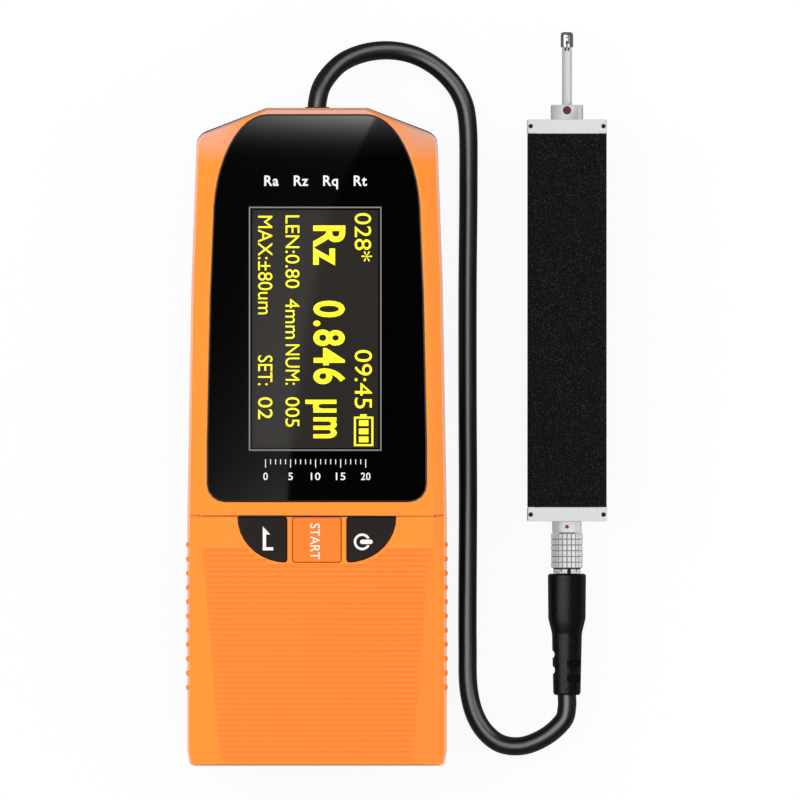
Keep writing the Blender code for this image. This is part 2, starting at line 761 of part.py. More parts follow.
def make_battery(looks):
    low = BACK_WALL + SEAT
    middle = low + BATTERY_THICK / 2.0
    outline = rectangle(BATTERY_WIDTH, BATTERY_THICK, BATTERY_ROUND)
    ends = (BATTERY_AT - BATTERY_LENGTH / 2.0, BATTERY_AT + BATTERY_LENGTH / 2.0)
    place("battery_pack", bar([(y, outline) for y in ends], (0.0, middle)), looks["battery"])


def make_grommet(looks):
    """Rubber bush in the outlet, held by a flange inside the wall."""
    inside = HOST_TOP - SIDE_WALL - SEAT
    bore = CABLE_RADIUS + SEAT
    end = HOST_TOP + GROMMET_PROUD
    profile = [
        (inside - GROMMET_FLANGE_THICK, bore), (inside - GROMMET_FLANGE_THICK, GROMMET_FLANGE),
        (inside, GROMMET_FLANGE), (inside, GROMMET_RADIUS), (end, GROMMET_RADIUS - GROMMET_EDGE), (end, bore),
    ]
    place("cable_grommet", turned(profile, (0.0, OUTLET_HEIGHT), TUBE_STEPS, closed=True), looks["rubber"])


# Drive unit

AXIS = (DRIVE_X, DRIVE_DEPTH / 2.0)
LOW_AXIS = (DRIVE_X, DRIVE_DEPTH / 2.0 - SHAFT_DROP)


def tube_size(inset=0.0):
    grown = 2.0 * (TUBE_INSET + inset)
    return DRIVE_WIDTH - grown, DRIVE_DEPTH - grown


def make_drive_housing(looks):
    """Extruded rectangular tube between the two end caps."""
    front = DRIVE_FRONT - CAP_THICK - SEAT / 2.0
    back = DRIVE_BACK + CAP_THICK + SEAT / 2.0
    outer = rectangle(*tube_size(), TUBE_ROUND)
    inner = rectangle(*tube_size(TUBE_WALL), TUBE_ROUND)
    sections = [(back, outer), (front, outer), (front, inner), (back, inner)]
    place("drive_housing", bar(sections, AXIS, closed=True), looks["anodised"])


def cap_solid(outer_y, inner_y, spigot_y):
    plate = rectangle(DRIVE_WIDTH, DRIVE_DEPTH, CAP_ROUND)
    soft = rectangle(DRIVE_WIDTH - 2.0 * CAP_EDGE, DRIVE_DEPTH - 2.0 * CAP_EDGE, CAP_ROUND)
    spigot = rectangle(*tube_size(TUBE_WALL + SEAT), TUBE_ROUND)
    step = math.copysign(CAP_EDGE, outer_y - inner_y)
    return bar([
        (outer_y, soft), (outer_y - step, plate), (inner_y, plate), (inner_y, spigot), (spigot_y, spigot),
    ], AXIS)


def cap_pits(y):
    """Small screw pits near both edges of a cap's upper face."""
    places = [side * (DRIVE_WIDTH / 2.0 - CAP_PIT_FROM_EDGE) for side in (-1, 1)]
    low = DRIVE_DEPTH - CAP_PIT_DEPTH
    return together(post(DRIVE_X + x, y, CAP_PIT_RADIUS, low, DRIVE_DEPTH + BITE, PIT_STEPS) for x in places)


def rod_axes():
    return [(DRIVE_X + side * ROD_SPREAD / 2.0, LOW_AXIS[1]) for side in (-1, 1)]


def make_front_cap(looks):
    inner = DRIVE_FRONT - CAP_THICK
    spigot = inner - CAP_SPIGOT
    cap = place("front_cap", cap_solid(DRIVE_FRONT, inner, spigot), looks["alloy"])
    bore = COLLAR_SPIGOT_RADIUS + SEAT
    cut(cap, "front_cap_bore", turned([(spigot - BITE, bore), (DRIVE_FRONT + BITE, bore)], AXIS))
    cut(cap, "front_cap_pits", cap_pits(DRIVE_FRONT - CAP_THICK / 2.0))
    socket = ROD_RADIUS + SEAT
    cut(cap, "rod_sockets", together(
        turned([(spigot - BITE, socket), (spigot + CAP_SPIGOT, socket)], axis, SMALL_STEPS)
        for axis in rod_axes()
    ))


def make_rear_cap(looks):
    inner = DRIVE_BACK + CAP_THICK
    cap = place("rear_cap", cap_solid(DRIVE_BACK, inner, inner + CAP_SPIGOT), looks["alloy"])
    bore = SOCKET_BARREL + SEAT
    cut(cap, "rear_cap_bore", turned([(DRIVE_BACK - BITE, bore), (inner + CAP_SPIGOT + BITE, bore)], AXIS))
    cut(cap, "rear_cap_pits", cap_pits(DRIVE_BACK + CAP_THICK / 2.0))


def make_pickup_collar(looks):
    """Guide nozzle in the front cap that the pick-up slides through."""
    bore = PICKUP_RADIUS + SLIDE
    base = DRIVE_FRONT + SEAT
    spigot_end = DRIVE_FRONT - CAP_THICK - CAP_SPIGOT
    profile = [
        (spigot_end, bore), (spigot_end, COLLAR_SPIGOT_RADIUS), (base, COLLAR_SPIGOT_RADIUS),
        (base, COLLAR_RADIUS), (COLLAR_FRONT - COLLAR_EDGE, COLLAR_RADIUS),
        (COLLAR_FRONT, COLLAR_RADIUS - COLLAR_EDGE),
        (COLLAR_FRONT, bore),
    ]
    place("pickup_collar", turned(profile, AXIS, closed=True), looks["alloy"])


def make_pickup_tube(looks):
    front = NOSE_TIP - NOSE_LENGTH - SEAT / 2.0
    back = CARRIAGE_FRONT - CARRIAGE_SOCKET + SEAT
    profile = [(back, PICKUP_BORE), (back, PICKUP_RADIUS), (front, PICKUP_RADIUS), (front, PICKUP_BORE)]
    place("pickup_tube", turned(profile, AXIS, TUBE_STEPS, closed=True), looks["alloy"])


def make_skid_nose(looks):
    """Polished nose that rides on the surface, slotted for the stylus."""
    base = NOSE_TIP - NOSE_LENGTH + SEAT / 2.0
    profile = [(base, NOSE_RADIUS)]
    for step in range(CORNER_STEPS + 1):
        angle = math.pi / 2.0 * step / CORNER_STEPS
        profile.append((
            NOSE_TIP - NOSE_ROUND + NOSE_ROUND * math.sin(angle),
            NOSE_RADIUS - NOSE_ROUND + NOSE_ROUND * math.cos(angle),
        ))
    nose = place("skid_nose", turned(profile, AXIS, TUBE_STEPS), looks["chrome"])
    slot_end = NOSE_TIP - STYLUS_TIP_FROM_NOSE + NOSE_SLOT_AHEAD
    low, high = AXIS[1] - PICKUP_BORE, AXIS[1] + NOSE_RADIUS + BITE
    cuts = [(NOSE_SLOT, slot_end), (NOSE_NOTCH, base + NOSE_NOTCH_LENGTH)]
    for name, (width, end) in zip(("stylus_slot", "stylus_notch"), cuts):
        cut(nose, name, block((DRIVE_X - width / 2.0, base - BITE, low), (DRIVE_X + width / 2.0, end, high)))


def make_stylus(looks):
    """Sprung arm in the pick-up with its point standing just out of the nose."""
    pivot = NOSE_TIP - STYLUS_PIVOT_FROM_TIP
    tip = NOSE_TIP - STYLUS_TIP_FROM_NOSE
    half = STYLUS_WIDTH / 2.0
    thick = STYLUS_THICK / 2.0
    neck, top = NOSE_RADIUS - STYLUS_NECK, NOSE_RADIUS + STYLUS_PROUD
    outline = [
        (pivot - STYLUS_TAIL, -thick), (pivot - STYLUS_TAIL, thick), (tip - STYLUS_THICK, thick),
        (tip - thick, neck), (tip - STYLUS_POINT, top), (tip + STYLUS_POINT, top), (tip + thick, neck),
        (tip + thick, -thick),
    ]
    sides = [[(DRIVE_X + x, y, AXIS[1] + z) for y, z in outline] for x in (-half, half)]
    place("stylus_arm", loft(sides), looks["chrome"], (DRIVE_X, pivot, AXIS[1]))


def make_carriage(looks):
    """Block that carries the pick-up along the two guide rods."""
    back = CARRIAGE_FRONT - CARRIAGE_LENGTH
    half = CARRIAGE_WIDTH / 2.0
    middle = AXIS[1]
    low = (DRIVE_X - half, back, middle + CARRIAGE_BOTTOM)
    high = (DRIVE_X + half, CARRIAGE_FRONT, middle + CARRIAGE_TOP)
    carriage = place("carriage", block(low, high), looks["alloy"])
    socket = PICKUP_RADIUS + SEAT
    cut(carriage, "pickup_socket", turned(
        [(CARRIAGE_FRONT - CARRIAGE_SOCKET, socket), (CARRIAGE_FRONT + BITE, socket)], AXIS, TUBE_STEPS
    ))
    along = (back - BITE, CARRIAGE_FRONT + BITE)
    cut(carriage, "rod_bores", together(
        turned([(y, ROD_RADIUS + SLIDE) for y in along], axis, SMALL_STEPS) for axis in rod_axes()
    ))
    passage = LEAD_SCREW_RADIUS + SEAT
    seat = NUT_RADIUS + SEAT
    cut(carriage, "screw_passage", turned(
        [(along[0], seat), (back + NUT_LENGTH, seat), (back + NUT_LENGTH, passage), (along[1], passage)],
        LOW_AXIS, SMALL_STEPS,
    ))


def make_drive_nut(looks):
    back = CARRIAGE_FRONT - CARRIAGE_LENGTH
    bore = LEAD_SCREW_RADIUS + SLIDE
    ends = (back, back + NUT_LENGTH - SEAT)
    profile = [(ends[0], bore), (ends[0], NUT_RADIUS), (ends[1], NUT_RADIUS), (ends[1], bore)]
    place("drive_nut", turned(profile, LOW_AXIS, SMALL_STEPS, closed=True), looks["brass"])


def make_guide_rods(looks):
    front = DRIVE_FRONT - CAP_THICK - SEAT
    back = BULKHEAD_FRONT - BULKHEAD_THICK + SEAT
    for name, axis in zip(("left", "right"), rod_axes()):
        rod = turned([(back, ROD_RADIUS), (front, ROD_RADIUS)], axis, SMALL_STEPS)
        place(f"guide_rod_{name}", rod, looks["chrome"])


def make_bulkhead(looks):
    """Plate across the housing that the motor and the guide rods are fixed to."""
    back = BULKHEAD_FRONT - BULKHEAD_THICK
    outline = rectangle(*tube_size(TUBE_WALL + SEAT), TUBE_ROUND)
    plate = place("motor_bulkhead", bar([(back, outline), (BULKHEAD_FRONT, outline)], AXIS), looks["alloy"])
    along = (back - BITE, BULKHEAD_FRONT + BITE)
    holes = [(axis, ROD_RADIUS + SEAT) for axis in rod_axes()] + [(LOW_AXIS, LEAD_SCREW_RADIUS + SEAT)]
    cut(plate, "bulkhead_holes", together(
        turned([(y, radius) for y in along], axis, SMALL_STEPS) for axis, radius in holes
    ))


def make_motor(looks):
    front = BULKHEAD_FRONT - BULKHEAD_THICK - SEAT
    back = front - MOTOR_LENGTH
    gearbox = front - GEARBOX_LENGTH
    profile = [
        (back, MOTOR_RADIUS - MOTOR_EDGE), (back + MOTOR_EDGE, MOTOR_RADIUS), (gearbox, MOTOR_RADIUS),
        (gearbox, MOTOR_RADIUS - GEARBOX_STEP), (front, MOTOR_RADIUS - GEARBOX_STEP),
    ]
    place("gear_motor", turned(profile, LOW_AXIS, SMALL_STEPS), looks["motor"])


def make_lead_screw(looks):
    front = DRIVE_FRONT - CAP_THICK - CAP_SPIGOT - SEAT
    back = BULKHEAD_FRONT - BULKHEAD_THICK
    middle = (front + back) / 2.0
    profile = [
        (back, LEAD_SCREW_RADIUS), (front - LEAD_SCREW_EDGE, LEAD_SCREW_RADIUS),
        (front, LEAD_SCREW_RADIUS - LEAD_SCREW_EDGE),
    ]
    screw = turned(profile, LOW_AXIS, SMALL_STEPS)
    place("lead_screw", screw, looks["chrome"], (LOW_AXIS[0], middle, LOW_AXIS[1]))


def make_drive_board(looks):
    low = DRIVE_DEPTH - TUBE_INSET - TUBE_WALL - SEAT - DRIVE_BOARD_THICK
    width = tube_size(TUBE_WALL + SEAT)[0]
    middle = DRIVE_BOARD_FRONT - DRIVE_BOARD_LENGTH / 2.0
    outline = rectangle(width, DRIVE_BOARD_LENGTH, DRIVE_BOARD_ROUND, (DRIVE_X, middle))
    place("drive_board", slab(outline, low, low + DRIVE_BOARD_THICK), looks["board"])


# Socket and plug

def socket_face():
    return DRIVE_BACK - SEAT - SOCKET_LENGTH


def sleeve_end():
    return socket_face() - SEAT / 2.0 - SLEEVE_LENGTH


def boot_start():
    return sleeve_end() - COLLET_LENGTH


def make_drive_socket(looks):
    face = socket_face()
    shoulder = DRIVE_BACK - SEAT
    inner = DRIVE_BACK + SOCKET_DEPTH
    profile = [
        (face, SOCKET_BORE), (face, SOCKET_RADIUS - SOCKET_EDGE), (face + SOCKET_EDGE, SOCKET_RADIUS),
        (shoulder, SOCKET_RADIUS), (shoulder, SOCKET_BARREL), (inner, SOCKET_BARREL), (inner, SOCKET_BORE),
    ]
    place("drive_socket", turned(profile, AXIS, closed=True), looks["alloy"])


def make_plug_body(looks):
    """Core of the plug: its nose in the socket, its collet under the sleeve and its tail in the boot."""
    face = socket_face()
    end = sleeve_end()
    nose = DRIVE_BACK + PLUG_NOSE_DEPTH
    profile = [
        (nose, PLUG_NOSE_RADIUS - PLUG_NOSE_EDGE), (nose - PLUG_NOSE_EDGE, PLUG_NOSE_RADIUS),
        (face - PLUG_SHOULDER, PLUG_NOSE_RADIUS), (face - PLUG_SHOULDER, PLUG_CORE_RADIUS),
        (end + COLLET_HIDDEN, PLUG_CORE_RADIUS), (end + COLLET_HIDDEN, COLLET_RADIUS),
        (boot_start() + SEAT, COLLET_RADIUS), (boot_start() + SEAT, PLUG_CORE_RADIUS),
        (boot_start() - BOOT_GRIP + SEAT, PLUG_CORE_RADIUS),
    ]
    body = place("plug_body", turned(profile, AXIS, TUBE_STEPS), looks["alloy"])
    cut(body, "collet_slots", together(
        collet_slot(math.radians(angle), boot_start() + SEAT + BITE / 2.0, end) for angle in COLLET_SLOTS
    ))


def collet_slot(angle, low, high):
    """A radial slot through the collet's jaws, from its bare ring on under the sleeve."""
    outward = Vector((math.cos(angle), math.sin(angle)))
    across = Vector((-outward.y, outward.x)) * COLLET_SLOT / 2.0
    near, far = outward * (PLUG_CORE_RADIUS + SLIDE), outward * (COLLET_RADIUS + BITE)
    section = [near - across, near + across, far + across, far - across]
    return bar([(low, section), (high, section)], AXIS)


def make_plug_sleeve(looks):
    """Outer sleeve that is pulled back to release the plug."""
    front = socket_face() - SEAT / 2.0
    end = sleeve_end()
    core = PLUG_CORE_RADIUS + SLIDE
    skirt = COLLET_RADIUS + SLIDE
    step = end + COLLET_HIDDEN + SLEEVE_PULL + SEAT
    profile = [
        (front, core), (front, SLEEVE_RADIUS - SLEEVE_EDGE), (front - SLEEVE_EDGE, SLEEVE_RADIUS),
        (end + SLEEVE_EDGE, SLEEVE_RADIUS), (end, SLEEVE_RADIUS - SLEEVE_EDGE), (end, skirt),
        (step, skirt), (step, core),
    ]
    place("plug_sleeve", turned(profile, AXIS, closed=True), looks["alloy"], (DRIVE_X, front, AXIS[1]))


def make_plug_boot(looks):
    """Moulded rubber boot with staggered slots that let its tail flex."""
    start = boot_start()
    end = start - BOOT_LENGTH
    tail = PLUG_CORE_RADIUS + SEAT
    neck = start - BOOT_BARREL
    profile = [
        (start - BOOT_GRIP, tail), (start, tail),
        (start, BOOT_RADIUS - BOOT_EDGE), (start - BOOT_EDGE, BOOT_RADIUS),
        (neck, BOOT_RADIUS - 0.1), (neck - BOOT_TAPER * 0.3, BOOT_RADIUS - BOOT_EDGE),
        (neck - BOOT_TAPER * 0.8, BOOT_NECK_RADIUS + 0.1), (neck - BOOT_TAPER, BOOT_NECK_RADIUS),
        (end + 0.5, BOOT_END_RADIUS), (end, BOOT_END_RADIUS - BOOT_EDGE),
    ]
    boot = place("plug_boot", turned(profile, AXIS), looks["rubber"])
    slots = []
    for angle, from_end in BOOT_SLOTS:
        radius = BOOT_END_RADIUS + (BOOT_NECK_RADIUS - BOOT_END_RADIUS) * from_end / BOOT_LENGTH * 2.0
        y = end + from_end
        slots.append(boot_slot(math.radians(angle), y, radius - BOOT_SLOT_DEPTH))
    cut(boot, "boot_slots", together(slots))


def boot_slot(angle, y, depth_radius):
    """A round-ended pocket across the boot, facing the given angle from +X towards +Z."""
    outward = Vector((math.cos(angle), math.sin(angle)))
    across = Vector((-outward.y, outward.x))
    plan = rounded([
        (BOOT_SLOT_WIDTH / 2.0, BOOT_SLOT_LENGTH / 2.0, BOOT_SLOT_LENGTH * 0.45),
        (BOOT_SLOT_WIDTH / 2.0, -BOOT_SLOT_LENGTH / 2.0, BOOT_SLOT_LENGTH * 0.45),
        (-BOOT_SLOT_WIDTH / 2.0, -BOOT_SLOT_LENGTH / 2.0, BOOT_SLOT_LENGTH * 0.45),
        (-BOOT_SLOT_WIDTH / 2.0, BOOT_SLOT_LENGTH / 2.0, BOOT_SLOT_LENGTH * 0.45),
    ])
    rings = []
    for radius in (depth_radius, depth_radius + 2.0 * BITE):
        ring = []
        for p in plan:
            spot = outward * radius + across * p.x
            ring.append((AXIS[0] + spot.x, y + p.y, AXIS[1] + spot.y))
        rings.append(ring)
    return loft(rings)


# Cable

def smooth_route(points, count):
    """Evenly spaced points along a smooth curve through the route's own points."""
    fine = []
    for i in range(len(points) - 1):
        before = Vector(points[max(i - 1, 0)])
        here, there = Vector(points[i]), Vector(points[i + 1])
        after = Vector(points[min(i + 2, len(points) - 1)])
        for step in range(ROUTE_STEPS):
            t = step / ROUTE_STEPS
            fine.append(0.5 * (
                2.0 * here + (there - before) * t
                + (2.0 * before - 5.0 * here + 4.0 * there - after) * t ** 2
                + (3.0 * here - before - 3.0 * there + after) * t ** 3
            ))
    fine.append(Vector(points[-1]))
    along = [0.0]
    for a, b in zip(fine, fine[1:]):
        along.append(along[-1] + (b - a).length)
    even, i = [], 0
    for step in range(count):
        want = along[-1] * step / (count - 1)
        while i < len(fine) - 2 and along[i + 1] < want:
            i += 1
        share = (want - along[i]) / (along[i + 1] - along[i])
        even.append(fine[i].lerp(fine[i + 1], min(share, 1.0)))
    return even


def make_cable(looks):
    curve = bpy.data.curves.new("cable", "CURVE")
    curve.dimensions = "3D"
    curve.bevel_depth = CABLE_RADIUS * MM
    curve.bevel_resolution = 2
    curve.resolution_u = 1
    curve.use_fill_caps = True
    spline = curve.splines.new("POLY")
    points = smooth_route(CABLE_ROUTE, CABLE_STEPS)
    spline.points.add(len(points) - 1)
    for target, point in zip(spline.points, points):
        target.co = (*(point * MM), 1.0)
    obj = bpy.data.objects.new("cable", curve)
    curve.materials.append(looks["cable"])
    bpy.context.scene.collection.objects.link(obj)


def clear_scene():
    for obj in list(bpy.data.objects):
        bpy.data.objects.remove(obj, do_unlink=True)


def build():
    clear_scene()
    looks = all_materials()
    make_front_shell(looks)
    make_rear_shell(looks)
    make_case_screws(looks)
    make_lens(looks)
    make_display_module(looks)
    make_main_board(looks)
    make_keys(looks)
    make_switches(looks)
    make_battery(looks)
    make_grommet(looks)
    make_drive_housing(looks)
    make_front_cap(looks)
    make_rear_cap(looks)
    make_pickup_collar(looks)
    make_pickup_tube(looks)
    make_skid_nose(looks)
    make_stylus(looks)
    make_carriage(looks)
    make_drive_nut(looks)
    make_guide_rods(looks)
    make_bulkhead(looks)
    make_motor(looks)
    make_lead_screw(looks)
    make_drive_board(looks)
    make_drive_socket(looks)
    make_plug_body(looks)
    make_plug_sleeve(looks)
    make_plug_boot(looks)
    make_cable(looks)


build()
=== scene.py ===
import math

import bpy
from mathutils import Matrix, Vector


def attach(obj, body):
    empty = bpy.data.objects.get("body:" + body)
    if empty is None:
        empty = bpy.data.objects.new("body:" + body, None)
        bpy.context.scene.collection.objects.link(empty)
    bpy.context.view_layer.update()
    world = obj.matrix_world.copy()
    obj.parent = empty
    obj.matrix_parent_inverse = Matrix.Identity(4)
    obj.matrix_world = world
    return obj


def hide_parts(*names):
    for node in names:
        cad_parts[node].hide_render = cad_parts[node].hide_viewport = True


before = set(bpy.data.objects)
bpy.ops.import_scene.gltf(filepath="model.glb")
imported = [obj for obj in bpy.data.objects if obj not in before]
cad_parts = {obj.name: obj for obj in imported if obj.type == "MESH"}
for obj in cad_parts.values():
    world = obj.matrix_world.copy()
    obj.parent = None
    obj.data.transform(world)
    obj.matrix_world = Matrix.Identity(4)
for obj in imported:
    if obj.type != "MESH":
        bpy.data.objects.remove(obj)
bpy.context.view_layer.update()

MM = 0.001

# Heights of the host's lens and keys, in millimetres
LENS_FACE = 47.95
KEY_FACE = 48.35
INK = 0.02  # thickness of a printed film

# The drive unit's axis, in millimetres
AXIS_X = 60.1
AXIS_Z = 11.25

# Camera, straight above the table
CAMERA_SPOT = Vector((0.01992, 0.009, 8.035))
CAMERA_LENS = 1500.0
SENSOR = 36.0

# How meshes are cleaned and shaded
WELD = 2e-6  # metres
FLAT = math.radians(0.4)
CREASE = math.radians(38.0)
SHARP = math.radians(40.0)
FACING = 0.9  # a normal's share along an axis, from which a face looks that way
NEAR = 0.01  # millimetres, for picking by a radius
LEVEL = 1e-6  # metres, for picking by a level


# Hands

def hold(piece):
    """Makes the piece the only one selected."""
    bpy.ops.object.select_all(action="DESELECT")
    piece.select_set(True)
    bpy.context.view_layer.objects.active = piece


def edit(piece):
    hold(piece)
    bpy.ops.object.mode_set(mode="EDIT")
    bpy.ops.mesh.select_mode(type="FACE")


def done():
    bpy.ops.object.mode_set(mode="OBJECT")


def pick(piece, wanted, kind="polygons"):
    """Selects the faces or edges that wanted() says, by their centre and normal, from edit mode."""
    bpy.ops.mesh.select_all(action="DESELECT")
    done()
    mesh = piece.data
    for face in mesh.polygons:
        face.select = kind == "polygons" and wanted(face.center, face.normal)
    if kind == "edges":
        for edge in mesh.edges:
            ends = [mesh.vertices[i].co for i in edge.vertices]
            edge.select = wanted(*ends)
    bpy.ops.object.mode_set(mode="EDIT")
    bpy.ops.mesh.select_mode(type="FACE" if kind == "polygons" else "EDGE")


def outward(piece):
    """Closes doubles and turns every face outwards."""
    edit(piece)
    bpy.ops.mesh.select_all(action="SELECT")
    bpy.ops.mesh.remove_doubles(threshold=WELD)
    bpy.ops.mesh.normals_make_consistent(inside=False)
    done()


def rest_in_mesh(piece):
    """Puts the piece's place, turn and size into its mesh."""
    hold(piece)
    bpy.ops.object.transform_apply(location=True, rotation=True, scale=True)


def shade(piece, angle=CREASE):
    """Smooth shading that keeps sharp edges and leaves flat faces flat."""
    hold(piece)
    bpy.ops.object.shade_smooth_by_angle(angle=angle)
    weighted = piece.modifiers.new("flat_faces", "WEIGHTED_NORMAL")
    weighted.keep_sharp = True
    bpy.ops.object.modifier_apply(modifier=weighted.name)


def soften(piece, width, segments=2):
    """Rounds the piece's sharp edges by width millimetres."""
    hold(piece)
    bevel = piece.modifiers.new("soft_edges", "BEVEL")
    bevel.width = width * MM
    bevel.segments = segments
    bevel.limit_method = "ANGLE"
    bevel.angle_limit = SHARP
    bpy.ops.object.modifier_apply(modifier=bevel.name)


def copy_of(node, name, edge=0.0):
    """A merged copy of a solid of the frame, with its sharp edges rounded by edge millimetres."""
    piece = bpy.data.objects.new(name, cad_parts[node].data.copy())
    bpy.context.scene.collection.objects.link(piece)
    edit(piece)
    bpy.ops.mesh.select_all(action="SELECT")
    if piece.data.has_custom_normals:
        bpy.ops.mesh.customdata_custom_splitnormals_clear()
    bpy.ops.mesh.remove_doubles(threshold=WELD)
    bpy.ops.mesh.dissolve_limited(angle_limit=FLAT)
    done()
    if edge:
        soften(piece, edge)
    shade(piece)
    return piece


def reach(piece, limits, way, by):
    """Moves the faces that look along way, +1 or -1 on Y, between two limits on Y; all in millimetres."""
    edit(piece)
    low, high = limits
    pick(piece, lambda centre, normal: normal.y * way > FACING and low < centre.y / MM < high)
    bpy.ops.transform.translate(value=(0.0, way * by * MM, 0.0))
    done()
    return piece


def settle(piece, body, look, slot, *nodes):
    """Gives the piece its material and its body, and hides the nodes that it stands for."""
    piece.data.materials.clear()
    piece.data.materials.append(look)
    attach(piece, body)
    if nodes:
        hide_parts(*nodes)
    return piece


# Camera

def set_camera():
    bpy.ops.object.camera_add(location=CAMERA_SPOT)
    camera = bpy.context.object
    camera.data.lens = CAMERA_LENS
    camera.data.sensor_width = SENSOR
    camera.data.clip_start = 0.1
    camera.data.clip_end = 50.0
    bpy.context.scene.camera = camera


set_camera()


# Materials

def linear(code):
    """Linear colour of an sRGB hex code."""
    parts = [int(code[i:i + 2], 16) / 255.0 for i in (1, 3, 5)]
    return tuple(p / 12.92 if p <= 0.04045 else ((p + 0.055) / 1.055) ** 2.4 for p in parts) + (1.0,)


def add_node(tree, kind, settings=None, **inputs):
    """Adds a node with its settings; each input is given a value or another node's socket."""
    made = tree.nodes.new(kind)
    for key, value in (settings or {}).items():
        setattr(made, key, value)
    for key, value in inputs.items():
        socket = made.inputs[int(key[1:])] if key[1:].isdigit() else made.inputs[key.replace("_", " ")]
        if isinstance(value, bpy.types.NodeSocket):
            tree.links.new(value, socket)
        else:
            socket.default_value = value
    return made


def surface(name, roughness, metallic=0.0, **more):
    """A new material with its shader; more are values of the shader's own sockets."""
    made = bpy.data.materials.new(name)
    made.use_nodes = True
    shader = made.node_tree.nodes["Principled BSDF"]
    shader.inputs["Roughness"].default_value = roughness
    shader.inputs["Metallic"].default_value = metallic
    for key, value in more.items():
        shader.inputs[key.replace("_", " ")].default_value = value
    return made, made.node_tree, shader


CLOUD = 12.0  # width in millimetres of the patches over which a moulded or milled colour drifts


def grained(name, dark, light, roughness, grain, height, metallic=0.0, stretch=(1.0, 1.0, 1.0),
            spread=0.25, **more):
    """A surface with a fine grain of the given width and height in millimetres.

    Its colour drifts between dark and light over patches, and its roughness drifts by the share spread
    of itself. stretch draws the grain out along an axis.
    """
    made, tree, shader = surface(name, roughness, metallic, **more)
    place = add_node(tree, "ShaderNodeTexCoord").outputs["Object"]
    drawn = add_node(tree, "ShaderNodeMapping", Vector=place, Scale=stretch).outputs["Vector"]
    fine = add_node(tree, "ShaderNodeTexNoise", Vector=drawn, Scale=1.0 / (grain * MM), Detail=3.0)
    patch = add_node(tree, "ShaderNodeTexNoise", Vector=place, Scale=1.0 / (CLOUD * MM), Detail=2.0)
    tone = add_node(tree, "ShaderNodeMix", {"data_type": "RGBA"}, _0=patch.outputs["Fac"])
    tone.inputs[6].default_value = linear(dark)
    tone.inputs[7].default_value = linear(light)
    tree.links.new(tone.outputs[2], shader.inputs["Base Color"])
    gloss = add_node(
        tree, "ShaderNodeMapRange", Value=fine.outputs["Fac"],
        To_Min=roughness * (1.0 - spread), To_Max=roughness * (1.0 + spread),
    )
    tree.links.new(gloss.outputs["Result"], shader.inputs["Roughness"])
    bump = add_node(
        tree, "ShaderNodeBump", Height=fine.outputs["Fac"], Strength=1.0, Distance=height * MM
    )
    tree.links.new(bump.outputs["Normal"], shader.inputs["Normal"])
    return made


# Moulded ABS, spark-eroded tool: an even satin with a very fine pebble
PLAIN_ORANGE = grained(
    "orange_abs_plain", "#fb8a1d", "#fd8e20", 0.42, 0.35, 0.006, Specular_IOR_Level=0.3, Coat_Weight=0.4,
    Coat_Roughness=0.3,
)
# The START key's plastic, a little redder
ORANGE_KEY = grained("orange_abs_key", "#fb7922", "#fd7d26", 0.42, 0.35, 0.006, Specular_IOR_Level=0.3)
# The same plastic in charcoal, a little coarser and duller
CHARCOAL = grained(
    "charcoal_abs_spark_texture", "#202122", "#262728", 0.5, 0.4, 0.012, Specular_IOR_Level=0.25,
)
# Keys: silicone-coated plastic, soft and slightly warm black
KEY_BLACK = grained("key_soft_touch_black", "#1e1918", "#241e1c", 0.45, 0.3, 0.006, Specular_IOR_Level=0.12)
# Soft rubber of the cable outlet and the plug's boot: dull, moulded, with a broad sheen
RUBBER = grained("moulded_rubber", "#050505", "#080808", 0.28, 0.4, 0.09, Specular_IOR_Level=0.05)
# Polyurethane jacket of the cable: smooth extrusion with a soft highlight
JACKET = grained(
    "extruded_cable_jacket", "#020202", "#040404", 0.32, 0.6, 0.001, Specular_IOR_Level=0.14, spread=0.1,
)
# Clear-anodised aluminium of the end caps: bead-blasted, bright and fine
ALLOY = grained("bead_blasted_aluminium", "#ececec", "#f2f2f2", 0.5, 0.25, 0.008, 1.0)
# Ground steel of the pick-up, its collar and the rods inside: fine rings round the axis
GROUND = grained("ground_steel", "#e2e3e5", "#eaebed", 0.46, 0.15, 0.002, 1.0, stretch=(0.05, 1.0, 0.05))
# Polished hard metal of the skid nose: dark, almost a mirror
POLISHED = grained("polished_hard_metal", "#68696c", "#727376", 0.16, 0.3, 0.0005, 1.0)
# Hardened, blued steel of the stylus arm: dark
BLUED = grained("blued_steel", "#303236", "#3a3c40", 0.3, 0.3, 0.001, 1.0)
# Black-oxide grub screws in the end caps
BLACK_OXIDE = grained("black_oxide_steel", "#1c1c1d", "#262627", 0.4, 0.2, 0.004, 0.6)
# Matt chrome plating of the round connector
PLATED = grained("matt_chrome_plating", "#e8e9ea", "#f0f0f1", 0.48, 0.2, 0.003, 0.7)
# Zinc-plated screws
ZINC = grained("zinc_plated_steel", "#9a9da0", "#b0b3b5", 0.3, 0.2, 0.004, 1.0)
# Drawn can of the motor
CAN = grained("drawn_steel_can", "#8d8f92", "#9c9ea1", 0.3, 0.2, 0.003, 1.0, stretch=(1.0, 0.08, 1.0))
# Turned brass nut
BRASS = grained("turned_brass", "#c59a4a", "#d0a655", 0.25, 0.15, 0.003, 1.0, stretch=(0.05, 1.0, 0.05))
# Glass-fibre circuit board under green resist
BOARD = grained("green_resist_board", "#0f4a28", "#14552f", 0.35, 0.5, 0.01, IOR=1.55)
# Switch housings
SWITCH = grained("switch_nylon", "#161616", "#1c1c1c", 0.5, 0.4, 0.01, IOR=1.53)
# Shrink wrap of the battery
WRAP = grained("battery_shrink_wrap", "#1e3f7a", "#24488a", 0.3, 1.5, 0.03, IOR=1.5)


BLAST = 0.3  # millimetres: the blast's dents are about 0.1 mm wide and are drawn coarser, so that they show


